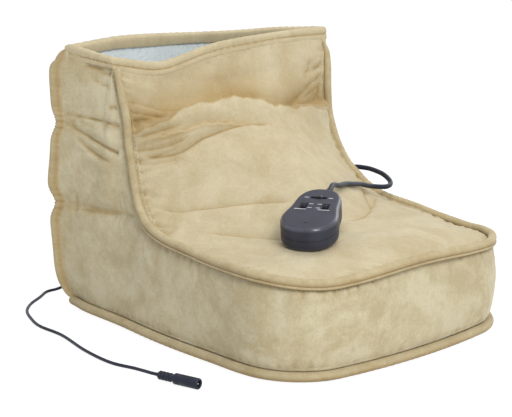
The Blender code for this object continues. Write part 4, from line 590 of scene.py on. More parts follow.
    def rim(self, inset: float, count: int) -> tuple[Points, Points]:
        """Loop along the cuff rim at an inset: its places and the directions down the wall."""
        front = self.rows(np.linspace(-1, 1, count), inset, inset)
        feet, tops = self.columns(inset, 0.0)
        shares = np.linspace(1, -1, count)
        step = 0.02
        levels = []
        for drop in (0.0, step):
            z = self.cuff - drop
            corner = feet[-1] + (tops[-1] - feet[-1]) * (z - self.foot) / (self.cuff - self.foot)
            bow = self.back_bow * (1 - shares ** 2)
            levels.append(np.stack([shares * corner[0], corner[1] + bow, np.full(count, z)], axis=-1))
        share = np.linspace(0, 1, count // 6 + 2)[1:-1, None]
        top, low = self.settle(front[-1]), self.settle(front[-2])
        back, below = self.settle(levels[0]), self.settle(levels[1])
        down_f, down_b = unit(low - top), unit(below - back)
        loop = np.concatenate([top, top[-1] + (back[0] - top[-1]) * share, back,
                               back[-1] + (top[0] - back[-1]) * share])
        down = np.concatenate([down_f, unit(down_f[-1] + (down_b[0] - down_f[-1]) * share), down_b,
                               unit(down_b[-1] + (down_f[0] - down_b[-1]) * share)])
        return loop, down

    def ring(self, inset: float, count: int) -> Points:
        """Outline of the foot of the walls, drawn in by the inset, as a loop of places."""
        feet, _ = self.columns(inset, inset)
        at = even(feet, int(count * 0.74), (FIRST_SIDE, LAST_SIDE))
        band = broken_spline(feet, at, (FIRST_SIDE, LAST_SIDE))
        shares = np.linspace(1, -1, count - len(band) + 2)[1:-1]
        bow = self.back_bow * (1 - shares ** 2) * self.foot / self.quilt_low
        heel = np.stack([shares * feet[-1, 0], feet[-1, 1] + bow, np.full(len(shares), self.foot)], axis=-1)
        return self.settle(np.concatenate([band, heel]))


BOOT = Boot()
GAP = 0.0003
SEAM_GAP = 0.00025
COVER_INSET = (0.0040 + GAP) / math.sqrt(2)
COVER_BACK = COVER_INSET + 0.0016
FOAM_OUT = COVER_BACK + 0.0008
FOAM_IN = COVER_BACK + GAP + 0.0070
LINING_OUT = FOAM_IN + GAP
SOLE_TOP = 0.0016 + GAP + 0.028
LINING_FLOOR = SOLE_TOP + 2 * GAP + 0.0015
FOAM_CEILING = 0.2185
FLANGE_WIDTH = 0.0066
STITCH_ROWS = (0.0034, 0.0058)


# Folds and puckers of the cloth


@dataclass(frozen=True)
class Fold:
    """Crease or ridge along a line on the cloth, by places in millimetres.

    Below the line the cloth rises smoothly to `rise`, and above it falls over `lip` to a hollow that
    fades over `above`. A negative rise with no hollow is a plain crease. `shade` is painted shade: it
    darkens the colour most at the line, over a narrow band below it and fading over `reach` above it,
    for the shade of the hollow or crease and in part for nap brushed the other way.
    """

    path: tuple[tuple[float, float, float], ...]
    rise: float
    below: float
    lip: float
    hollow: float = 0.0
    above: float = 0.03
    waver: float = 0.0
    waves: float = 6.0
    up: tuple[float, float, float] = (0.0, 0.5, 0.85)
    fade: float = 0.18
    shade: float = 0.0
    reach: float = 0.02

    def offset(self, points: Points, normals: Points) -> tuple[Points, Points]:
        """Height and painted shade that this fold gives at each point, zero far from its line."""
        path = np.array(self.path, float) * MM
        nearest = np.linalg.norm(points[None] - path[:, None], axis=-1).argmin(axis=1)
        on = normals[nearest]
        path = path + ((points[nearest] - path) * on).sum(-1, keepdims=True) * on
        path = spline(path, np.linspace(0, len(path) - 1, 6 * len(path)))
        start, step = path[:-1], np.diff(path, axis=0)
        reach = 3.2 * max(self.below, self.above if self.hollow else self.lip, self.reach * bool(self.shade))
        near = np.all((points > path.min(0) - reach) & (points < path.max(0) + reach), axis=-1)
        some = points[near]
        height, shade = np.zeros(len(points)), np.zeros(len(points))
        if not len(some):
            return height, shade
        apart = some[:, None] - start[None]
        share = np.clip((apart * step).sum(-1) / (step * step).sum(-1), 0.0, 1.0)
        gap = apart - share[..., None] * step
        distance = np.linalg.norm(gap, axis=-1)
        pick = distance.argmin(axis=1)
        rows = np.arange(len(some))
        along = (pick + share[rows, pick]) / len(step)
        side = np.where(gap[rows, pick] @ np.array(self.up) < 0, -1.0, 1.0)
        signed = side * distance[rows, pick]
        signed = signed + self.waver * (np.sin(2 * math.pi * self.waves * along)
                                        + 0.6 * np.sin(2 * math.pi * 2.3 * self.waves * along + 1.0))
        if self.hollow:
            under = self.rise * hump(signed, self.below)
            over = (self.rise + self.hollow) * hump(signed, self.lip) - self.hollow * hump(signed, self.above)
        else:
            under, over = (self.rise * crease(signed, spread) for spread in (self.below, self.lip))
        ends = smooth(along, 0.0, self.fade) * smooth(1 - along, 0.0, self.fade)
        height[near] = np.where(signed < 0, under, over) * ends
        # Painted shade of the fold: a narrow band below the line, fading over `reach` above it.
        nap_and_shade = np.where(signed < 0, hump(signed, 0.0012), np.exp(-np.abs(signed) / self.reach))
        shade[near] = self.shade * nap_and_shade * ends
        return height, shade


# In these fold tables `shade` is painted shade along each crease and in the hollow above each ridge.
LEFT_WRINKLES = tuple(
    Fold(((-134, 84, z), (-118, 79, z + 0.3 * rise), (-98, 72, z + 0.62 * rise), (-98 + run, 66, z + rise)),
         -depth, 0.0012, 0.0030, fade=0.25, shade=0.15, reach=0.003)
    for z, rise, run, depth in (
        (191, 8, 30, 0.0014), (176, 13, 28, 0.0018), (168, 8, 42, 0.0012), (152, 12, 40, 0.0015),
        (141, 6, 22, 0.0012), (213, 2, 20, 0.0012), (204, -6, 12, 0.0014)))
RIGHT_WRINKLES = tuple(
    Fold(((136, 84, z), (120, 79, z + 0.3 * rise), (102, 72, z + 0.7 * rise), (102 - run, 66, z + rise)),
         -depth, 0.0012, 0.0030, fade=0.30, shade=0.12, reach=0.003)
    for z, rise, run, depth in (
        (213, -6, 12, 0.0016), (203, -8, 24, 0.0013), (223, 3, 10, 0.0013), (174, 6, 18, 0.0010)))
INSTEP_FOLDS = (
    Fold(((-140, 82, 186), (-118, 78, 186), (-96, 72, 195), (-62, 69, 204), (-30, 63, 208), (-8, 61, 207),
          (11, 56, 199), (25, 52, 196), (46, 53, 192), (71, 59, 189), (102, 69, 184), (138, 84, 182)),
         0.0066, 0.020, 0.0026, 0.0100, 0.030, 0.0013, 7.0, fade=0.06, shade=1.30, reach=0.019),
    # A nearly flat line whose work is painted shade above the middle of the ridge.
    Fold(((-62, 70, 214), (-35, 70, 218), (-8, 68, 218), (18, 66, 212), (40, 64, 206)), -0.0004, 0.004,
         0.004, fade=0.35, shade=0.60, reach=0.015),
    Fold(((-124, 77, 163), (-111, 68, 161), (-91, 59, 163), (-80, 55, 168), (-63, 53, 175), (-31, 47, 181),
          (-5, 43, 181), (20, 40, 176)), -0.0036, 0.0016, 0.0036, shade=0.35, reach=0.004),
    Fold(((-128, 76, 176), (-108, 70, 177), (-85, 63, 180), (-55, 56, 184), (-26, 46, 182), (0, 42, 180)),
         0.0034, 0.011, 0.0036, 0.0024, 0.012, 0.0006, 5.0, shade=0.5, reach=0.009),
    Fold(((-134, 60, 121), (-115, 33, 116), (-94, 16, 118), (-67, -2, 121), (-39, -20, 123), (-18, -32, 122)),
         -0.0030, 0.0020, 0.0055, shade=0.25, reach=0.007),
    Fold(((-116, 4, 103), (-102, -15, 103), (-86, -39, 102), (-72, -58, 101), (-50, -76, 103),
          (-30, -84, 105), (0, -88, 106)), -0.0034, 0.0020, 0.0060, shade=0.35, reach=0.007),
    Fold(((-12, -76, 107), (23, -70, 106), (44, -60, 106), (71, -41, 105), (100, -16, 103), (128, 6, 101)),
         -0.0032, 0.0020, 0.0070, shade=0.30, reach=0.007),
    Fold(((110, 8, 110), (106, 5, 108), (92, -10, 107), (84, -20, 107), (74, -35, 105), (60, -48, 105)),
         -0.0028, 0.0026, 0.0032, shade=0.35, reach=0.004),
    Fold(((58, 55, 188), (74, 64, 195), (89, 71, 201), (113, 82, 206)), -0.0028, 0.0040, 0.0055,
         shade=0.3, reach=0.010),
    Fold(((-96, 50, 150), (-60, 36, 150), (-20, 24, 150), (10, 22, 152)), 0.0018, 0.016, 0.014),
    Fold(((-130, 78, 168), (-112, 70, 168), (-95, 64, 171), (-75, 60, 176)), -0.0030, 0.0032, 0.0040,
         shade=0.35, reach=0.006),
    Fold(((-134, 78, 158), (-118, 68, 155), (-104, 62, 156), (-88, 56, 158)), -0.0022, 0.0035, 0.0045,
         shade=0.25, reach=0.006),
    Fold(((-60, 76, 232), (-20, 80, 226), (30, 82, 226), (80, 84, 232)), -0.0014, 0.010, 0.012),
    Fold(((96, 72, 214), (104, 80, 222), (108, 86, 232)), -0.0018, 0.0035, 0.0045, shade=0.2, reach=0.006),
)
SIDE_FOLDS = (
    Fold(((-160, 154, 188), (-150, 139, 182), (-145, 121, 174), (-142, 101, 167), (-139, 88, 163)),
         -0.0042, 0.0016, 0.0030, up=(0, 0.3, 0.9), fade=0.08, shade=0.5, reach=0.003),
    Fold(((-158, 150, 196), (-148, 136, 195), (-143, 118, 193), (-139, 100, 191), (-137, 88, 190)),
         -0.0036, 0.0030, 0.0015, up=(0, 0.3, 0.9), fade=0.08, shade=0.4, reach=0.003),
    Fold(((-156, 147, 190), (-147, 130, 185), (-142, 112, 180), (-139, 92, 177)), 0.0034, 0.0075, 0.0075,
         fade=0.2),
    Fold(((-152, 142, 178), (-148, 127, 166), (-145, 112, 158), (-141, 96, 155)),
         -0.0030, 0.0014, 0.0032, up=(0, 0.1, 1.0), fade=0.16, shade=0.35, reach=0.003),
    Fold(((-150, 140, 174), (-147, 125, 160), (-144, 108, 151), (-141, 92, 150)), 0.0022, 0.0080, 0.0060,
         fade=0.25),
    Fold(((-142, 104, 205), (-139, 96, 207), (-137, 90, 206)), -0.0022, 0.0014, 0.0022, fade=0.25, shade=0.3,
         reach=0.003),
    Fold(((-150, 128, 246), (-141, 110, 240), (-137, 98, 236)), -0.0022, 0.0016, 0.0024, shade=0.3,
         reach=0.003),
    Fold(((-148, 122, 236), (-142, 110, 228), (-138, 96, 224)), -0.0014, 0.0015, 0.0022, fade=0.3,
         shade=0.2, reach=0.003),
    Fold(((-158, 162, 104), (-149, 149, 102), (-145, 129, 103), (-142, 108, 104), (-140, 84, 106)),
         -0.0028, 0.0016, 0.0040, up=(0, 0.1, 1.0), fade=0.12, shade=0.25, reach=0.005),
    Fold(((-154, 158, 96), (-147, 140, 93), (-143, 116, 94), (-142, 92, 98)), 0.0016, 0.0090, 0.0070,
         fade=0.3),
)


def mirrored(folds: Sequence[Fold], shift: float) -> list[Fold]:
    """The same folds on the other side of the boot, moved up by a shift in millimetres."""
    return [Fold(tuple((-x, y, z + shift) for x, y, z in fold.path), fold.rise, fold.below, fold.lip,
                 fold.hollow, fold.above, up=fold.up, fade=fold.fade, shade=fold.shade, reach=fold.reach)
            for fold in folds]


@dataclass(frozen=True)
class Puckers:
    """Short creases that start at a seam and run away from it, at chosen or random places.

    Each has a straight line in the plane of length along the seam and distance from it. The cloth
    sinks by `depth` on the line and rises a little beside it, fading out towards the far end.
    """

    count: int
    depth: float
    length: tuple[float, float]
    slant: float
    seed: int
    span: tuple[float, float] = (0.0, 1.0)
    width: float = 0.0022

    def offset(self, along: Points, away: Points) -> Points:
        """Height at each place, from its length along the seam and its distance away from it."""
        source = np.random.default_rng(self.seed)
        low, high = (along.min() + s * (along.max() - along.min()) for s in self.span)
        total = np.zeros(np.broadcast(along, away).shape)
        for _ in range(self.count):
            start = source.uniform(low, high)
            long = source.uniform(*self.length)
            lean = source.uniform(-self.slant, self.slant)
            strength = source.uniform(0.4, 1.0)
            centre = start + lean * away + 0.12 * lean * long * np.sin(3 * away / long)
            apart = (along - centre) / math.hypot(1, lean)
            taper = smooth(long - away, 0.0, 0.8 * long) * smooth(away, -0.001, 0.002)
            cut = -crease(apart, self.width) + 0.5 * hump(np.abs(apart) - 2.4 * self.width, 1.6 * self.width)
            total = total + self.depth * strength * cut * taper
        return total


def heights(grid: Points, folds: Sequence[Fold], seed: int, wave: float = 0.045,
            depth: float = 0.0008) -> tuple[Points, Points]:
    """Height of the folds and of the wadding's soft unevenness over a grid, and the painted shade of the
    folds.
    """
    flat, normals = grid.reshape(-1, 3), grid_normals(grid).reshape(-1, 3)
    total = depth * ripple(flat, wave, seed) + 0.45 * depth * ripple(flat, wave / 2.6, seed + 1)
    shade = np.zeros(len(flat))
    for fold in folds:
        height, nap_and_shade = fold.offset(flat, normals)
        total, shade = total + height, shade + nap_and_shade
    return total.reshape(grid.shape[:2]), shade.reshape(grid.shape[:2])


def creased(total: Points) -> Points:
    """Painted shade of the creases: how far the cloth lies below its own average round each point."""
    soft = total
    for _ in range(8):
        wide = np.pad(soft, 1, mode="edge")
        soft = (wide[:-2, 1:-1] + wide[2:, 1:-1] + wide[1:-1, :-2] + wide[1:-1, 2:] + 4 * soft) / 8
    return 0.60 * smooth(soft - total, 0.00008, 0.0008)


def seam_draw(distance: Points, length: Points, draw: float, pucker: float, seed: int) -> Points:
    """Pull of a seam on the cloth beside it: a dip that fades away from it, with small puckers."""
    wave = np.sin(2 * math.pi * length / 0.0105 + 2.2 * np.sin(length / 0.017 + seed))
    strength = 0.5 + 0.5 * np.sin(length / 0.031 + 1.7 * seed)
    return -draw * hump(distance, 0.006) + pucker * wave * strength * hump(distance - 0.004, 0.009)


def lowest(total: Points) -> Points:
    """Least height of each point and its four neighbours, so padding stays below a fold's steep side."""
    wide = np.pad(total, 1, mode="edge")
    return np.minimum.reduce([total, wide[:-2, 1:-1], wide[2:, 1:-1], wide[1:-1, :-2], wide[1:-1, 2:]])


def sunk(total: Points) -> Points:
    """How far the wadding's face moves with the cloth on it, a little deeper in the creases."""
    return np.where(total < 0, 1.15 * total - 0.0002, 0.9 * total)


def followed(total: Points) -> Points:
    """How far the inner layers move with a fold: only what is deeper than the wadding takes up."""
    return np.minimum(total + 0.0022, 0.0)


# Finishes


class Nodes:
    """Node tree of a material or the world, built by short calls that give the next one's socket."""

    def __init__(self, owner: bpy.types.ID, shader: str = "Principled BSDF") -> None:
        """Take the owner's tree and its ready-made shader."""
        owner.use_nodes = True
        self.owner, self.tree = owner, owner.node_tree
        self.shader = self.tree.nodes[shader]

    @cached_property
    def place(self) -> bpy.types.NodeSocket:
        """Object coordinates."""
        return self.node("TexCoord").outputs["Object"]

    def feed(self, socket: bpy.types.NodeSocket, value: object) -> None:
        """Link a socket to another one, or set its value."""
        if isinstance(value, bpy.types.NodeSocket):
            self.tree.links.new(value, socket)
        else:
            socket.default_value = (*value, 1.0) if socket.type == "RGBA" else value

    def node(self, kind: str, **inputs: object) -> bpy.types.Node:
        """Shader node of a kind, with its inputs set or linked by name."""
        made = self.tree.nodes.new("ShaderNode" + kind)
        for name, value in inputs.items():
            self.feed(made.inputs[name.replace("_", " ")], value)
        return made

    def noise(self, scale: float, detail: float = 2.0, distortion: float = 0.0,
              place: Optional[bpy.types.NodeSocket] = None) -> bpy.types.NodeSocket:
        """Noise of a scale, in features per metre."""
        return self.node("TexNoise", Vector=place or self.place, Scale=scale, Detail=detail,
                         Distortion=distortion).outputs["Fac"]

    def stretched(self, scale: tuple[float, float, float]) -> bpy.types.NodeSocket:
        """Object coordinates, scaled by axis."""
        return self.node("Mapping", Vector=self.place, Scale=scale).outputs["Vector"]

    def attribute(self, name: str) -> bpy.types.NodeSocket:
        """Number kept at each point of the mesh under a name."""
        made = self.node("Attribute")
        made.attribute_name = name
        return made.outputs["Fac"]

    def ramp(self, factor: bpy.types.NodeSocket,
             stops: Sequence[tuple[float, tuple[float, ...]]]) -> bpy.types.NodeSocket:
        """Colour by factor, from a list of places and colours."""
        made = self.node("ValToRGB", Fac=factor)
        elements = made.color_ramp.elements
        while len(elements) < len(stops):
            elements.new(0.5)
        for element, (place, colour) in zip(elements, stops):
            element.position, element.color = place, (*colour, 1.0)
        return made.outputs["Color"]

    def math(self, operation: str, *values: object) -> bpy.types.NodeSocket:
        """Sum, product or other function of two or more values, taken from left to right."""
        total = values[0]
        for value in values[1:]:
            made = self.node("Math")
            made.operation = operation
            self.feed(made.inputs[0], total)
            self.feed(made.inputs[1], value)
            total = made.outputs[0]
        return total

    def weighted(self, *terms: tuple[bpy.types.NodeSocket, float]) -> bpy.types.NodeSocket:
        """Sum of sockets, each times its weight."""
        return self.math("ADD", *(self.math("MULTIPLY", *term) for term in terms))

    def blend(self, factor: object, a: object, b: object, mode: str = "MIX") -> bpy.types.NodeSocket:
        """Mix of two colours."""
        made = self.node("Mix")
        made.data_type, made.blend_type = "RGBA", mode
        for index, value in zip((0, 6, 7), (factor, a, b)):
            self.feed(made.inputs[index], value)
        return made.outputs[2]

    def bump(self, height: bpy.types.NodeSocket, strength: float, distance: float,
             **before: bpy.types.NodeSocket) -> bpy.types.NodeSocket:
        """Normal bent by a height, over an earlier Normal where one is given."""
        return self.node("Bump", Height=height, Strength=strength, Distance=distance,
                         **before).outputs["Normal"]

    def set(self, **inputs: object) -> bpy.types.ID:
        """Set or link the shader's inputs by name, and give the finished owner."""
        for name, value in inputs.items():
            self.feed(self.shader.inputs[name.replace("_", " ")], value)
        return self.owner

    def white_to_camera(self) -> bpy.types.NodeSocket:
        """One where a ray comes from the camera, a reflection or a glassy surface."""
        rays = self.node("LightPath").outputs
        kinds = "Camera", "Glossy", "Transmission"
        return self.math("MAXIMUM", *(rays[f"Is {kind} Ray"] for kind in kinds))

    def show(self, share: bpy.types.NodeSocket, top: bpy.types.Node, output: str) -> None:
        """Lead the shader to an output, with another one over it by a share."""
        mix = self.node("MixShader")
        for socket, value in zip(mix.inputs, (share, self.shader.outputs[0], top.outputs[0])):
            self.feed(socket, value)
        self.feed(self.tree.nodes[output].inputs["Surface"], mix.outputs[0])


@dataclass(frozen=True)
class Suede:
    """Napped suede cloth: patches of nap, fine strokes and grain, with painted shade where the shade
    attribute is kept.
    """

    name: str
    light: tuple[float, float, float]
    dark: tuple[float, float, float]
    patch: float = 15.0
    contrast: float = 1.0
    sheen: float = 0.35
    # Tint that the painted shade multiplies into the colour: the darker, browner shade of hollows and
    # creases, in part nap brushed the other way.
    nap_and_shade: tuple[float, float, float] = (0.76, 0.64, 0.45)

    def material(self) -> bpy.types.Material:
        """Colour from patches of nap over strokes and grain, darkened by painted shade from the shade
        attribute; bump from strokes and grain.
        """
        n = Nodes(bpy.data.materials.new(self.name))
        patches = n.noise(self.patch, 4.0, 1.4)
        mottle = n.noise(5.0 * self.patch, 3.0, 1.0)
        strokes = n.noise(1.0, 3.0, 1.2, n.stretched((260.0, 210.0, 190.0)))
        grain = n.noise(1500.0, 2.0)
        level = n.weighted((patches, 0.55), (mottle, 0.27), (strokes, 0.18))
        half = 0.11 / self.contrast
        middle = tuple((a + b) / 2 for a, b in zip(self.light, self.dark))
        colour = n.ramp(level, ((0.5 - half, self.dark), (0.5, middle), (0.5 + half, self.light)))
        speck = n.ramp(grain, ((0.30, (0.80, 0.79, 0.77)), (0.70, (1.0, 1.0, 1.0))))
        colour = n.blend(1.0, colour, speck, "MULTIPLY")
        uneven = n.math("ADD", n.math("MULTIPLY", mottle, 0.9), 0.55)
        # Painted shade: the shade attribute, made uneven by the mottle, mixes the colour towards the darker
        # tint.
        nap_and_shade = n.math("MINIMUM", n.math("MULTIPLY", n.attribute("shade"), uneven), 1.0)
        colour = n.blend(nap_and_shade, colour, n.blend(1.0, colour, self.nap_and_shade, "MULTIPLY"))
        fine = n.bump(grain, 0.28, 0.0006)
        both = n.bump(strokes, 0.10, 0.0010, Normal=fine)
        return n.set(Base_Color=colour, Roughness=0.93, Sheen_Weight=self.sheen, Sheen_Roughness=0.45,
                     Sheen_Tint=(1.0, 0.95, 0.82), Specular_IOR_Level=0.12, Normal=both)


@dataclass(frozen=True)
class Fleece:
    """Short-pile fleece or wadding: tufts over a plain colour."""

    name: str
    light: tuple[float, float, float]
    dark: tuple[float, float, float]
    tuft: float = 330.0

    def material(self) -> bpy.types.Material:
        """Colour and bump from tufts, with slow patches."""
        n = Nodes(bpy.data.materials.new(self.name))
        tufts = n.noise(self.tuft, 3.0, 0.6)
        patches = n.noise(22.0, 2.0)
        colour = n.ramp(n.weighted((tufts, 0.6), (patches, 0.4)),
                        ((0.36, self.dark), (0.62, self.light)))
        return n.set(Base_Color=colour, Roughness=0.97, Sheen_Weight=0.4, Sheen_Roughness=0.6,
                     Specular_IOR_Level=0.08, Normal=n.bump(tufts, 0.55, 0.0012))


@dataclass(frozen=True)
class Moulded:
    """Moulded plastic or rubber: a fine texture with slow changes of gloss."""

    name: str
    colour: tuple[float, float, float]
    roughness: float = 0.42
    texture: float = 2600.0
    relief: float = 0.12
    metallic: float = 0.0
    gloss: float = 0.5
    polish: float = 0.0

    def material(self) -> bpy.types.Material:
        """Colour nearly even, roughness from wear patches, bump from the mould's texture."""
        n = Nodes(bpy.data.materials.new(self.name))
        patches = n.noise(60.0, 3.0, 0.4)
        dark = tuple(0.86 * c for c in self.colour)
        light = tuple(min(1.12 * c + 0.002, 1.0) for c in self.colour)
        colour = n.ramp(patches, ((0.35, dark), (0.65, light)))
        rough = n.math("ADD", n.math("MULTIPLY", patches, 0.22), self.roughness - 0.11)
        gloss = self.gloss
        if self.polish:
            worn = n.attribute("shade")
            rough = n.math("SUBTRACT", rough, n.math("MULTIPLY", worn, self.polish))
            gloss = n.math("ADD", n.math("MULTIPLY", worn, 2 * self.polish), self.gloss)
        return n.set(Base_Color=colour, Roughness=rough, Metallic=self.metallic, Specular_IOR_Level=gloss,
                     Normal=n.bump(n.noise(self.texture, 2.0), self.relief, 0.0002))


@dataclass(frozen=True)
class Dotted:
    """Black cloth with a pattern of small grip dots."""

    name: str

    def material(self) -> bpy.types.Material:
        """Dots from a Voronoi pattern with no scatter, lighter and smoother than the cloth."""
        n = Nodes(bpy.data.materials.new(self.name))
        cells = n.node("TexVoronoi", Vector=n.place, Scale=170.0, Randomness=0.0)
        dots = n.ramp(cells.outputs["Distance"], ((0.26, (1.0, 1.0, 1.0)), (0.34, (0.0, 0.0, 0.0))))
        weave = n.noise(1100.0, 2.0)
        cloth = n.ramp(weave, ((0.35, (0.020, 0.019, 0.018)), (0.65, (0.045, 0.043, 0.040))))
        colour = n.blend(dots, cloth, (0.075, 0.075, 0.078))
        normal = n.bump(dots, 0.6, 0.0006, Normal=n.bump(weave, 0.3, 0.0003))
        return n.set(Base_Color=colour, Roughness=0.75, Normal=normal)


SUEDE = Suede("suede_instep", (0.640, 0.562, 0.385), (0.540, 0.448, 0.275))
SUEDE_SIDE = Suede("suede_side", (0.665, 0.598, 0.415), (0.535, 0.448, 0.275), 17.0, 1.2)
SUEDE_TRIM = Suede("suede_trim", (0.590, 0.500, 0.315), (0.470, 0.375, 0.212), 28.0, 0.8, 0.25)
SUEDE_RIM = Suede("suede_rim", (0.630, 0.545, 0.365), (0.525, 0.440, 0.275), 22.0, 0.8, 0.3)
FLEECE = Fleece("fleece_lining", (0.830, 0.895, 0.915), (0.690, 0.765, 0.790))
WADDING = Fleece("wadding", (0.86, 0.84, 0.77), (0.70, 0.67, 0.60), 160.0)
FELT = Fleece("heater_felt", (0.74, 0.70, 0.63), (0.60, 0.56, 0.50), 500.0)
SLATE = Moulded("handset_slate", (0.043, 0.045, 0.064), 0.50, gloss=0.16, polish=0.30)
KNOB = Moulded("knob_black", (0.009, 0.009, 0.012), 0.40, gloss=0.22)
RUBBER = Moulded("cable_rubber", (0.014, 0.018, 0.034), 0.42, 1800.0, 0.08, gloss=0.25)
HOUSING = Moulded("housing_black", (0.055, 0.055, 0.057), 0.50)
STEEL = Moulded("motor_steel", (0.52, 0.52, 0.53), 0.34, 900.0, 0.05, 1.0)
BRASS = Moulded("weight_brass", (0.58, 0.45, 0.22), 0.38, 700.0, 0.08, 1.0)
SCREW = Moulded("screw_steel", (0.42, 0.42, 0.43), 0.32, 1500.0, 0.05, 1.0)
PIN = Moulded("pin_plated", (0.72, 0.71, 0.68), 0.22, 1500.0, 0.03, 1.0)
BOARD = Moulded("board_green", (0.025, 0.16, 0.065), 0.5, 700.0, 0.25)
LENS = Moulded("lamp_smoke", (0.020, 0.012, 0.014), 0.15, 300.0, 0.02)
PRINT = Moulded("print_white", (0.62, 0.66, 0.69), 0.6, 3000.0, 0.05)
# Thread colour: tan, made darker to stand in for the shade in the stitch holes, so partly painted shade.
THREAD = Moulded("thread_tan", (0.33, 0.25, 0.13), 0.8, 4000.0, 0.3)
GRIP = Dotted("base_grip_cloth")
MADE: dict[str, bpy.types.Material] = {}


def dress(item: bpy.types.Object, finish: object) -> bpy.types.Object:
    """Give a piece its finish, made once."""
    if finish.name not in MADE:
        MADE[finish.name] = finish.material()
    item.data.materials.clear()
    item.data.materials.append(MADE[finish.name])
    return item


def fit(item: bpy.types.Object, finish: object, slot: str, *nodes: str,
        body: str = "boot") -> bpy.types.Object:
    """Dress a piece, tie it to its body and hide the solids that it stands for."""
    dress(item, finish)
    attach(item, body)
    if nodes:
        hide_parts(*nodes)
    return item


def drawn_in(ring: Points, least: float, count: int) -> tuple[Points, Points]:
    """A loop drawn in to its middle by even shares from 1 to the least one, and those shares."""
    share = np.linspace(1, least, count)[:, None, None]
    middle = ring.mean(axis=0)
    return middle + (ring - middle)[None] * share, share


# Covers


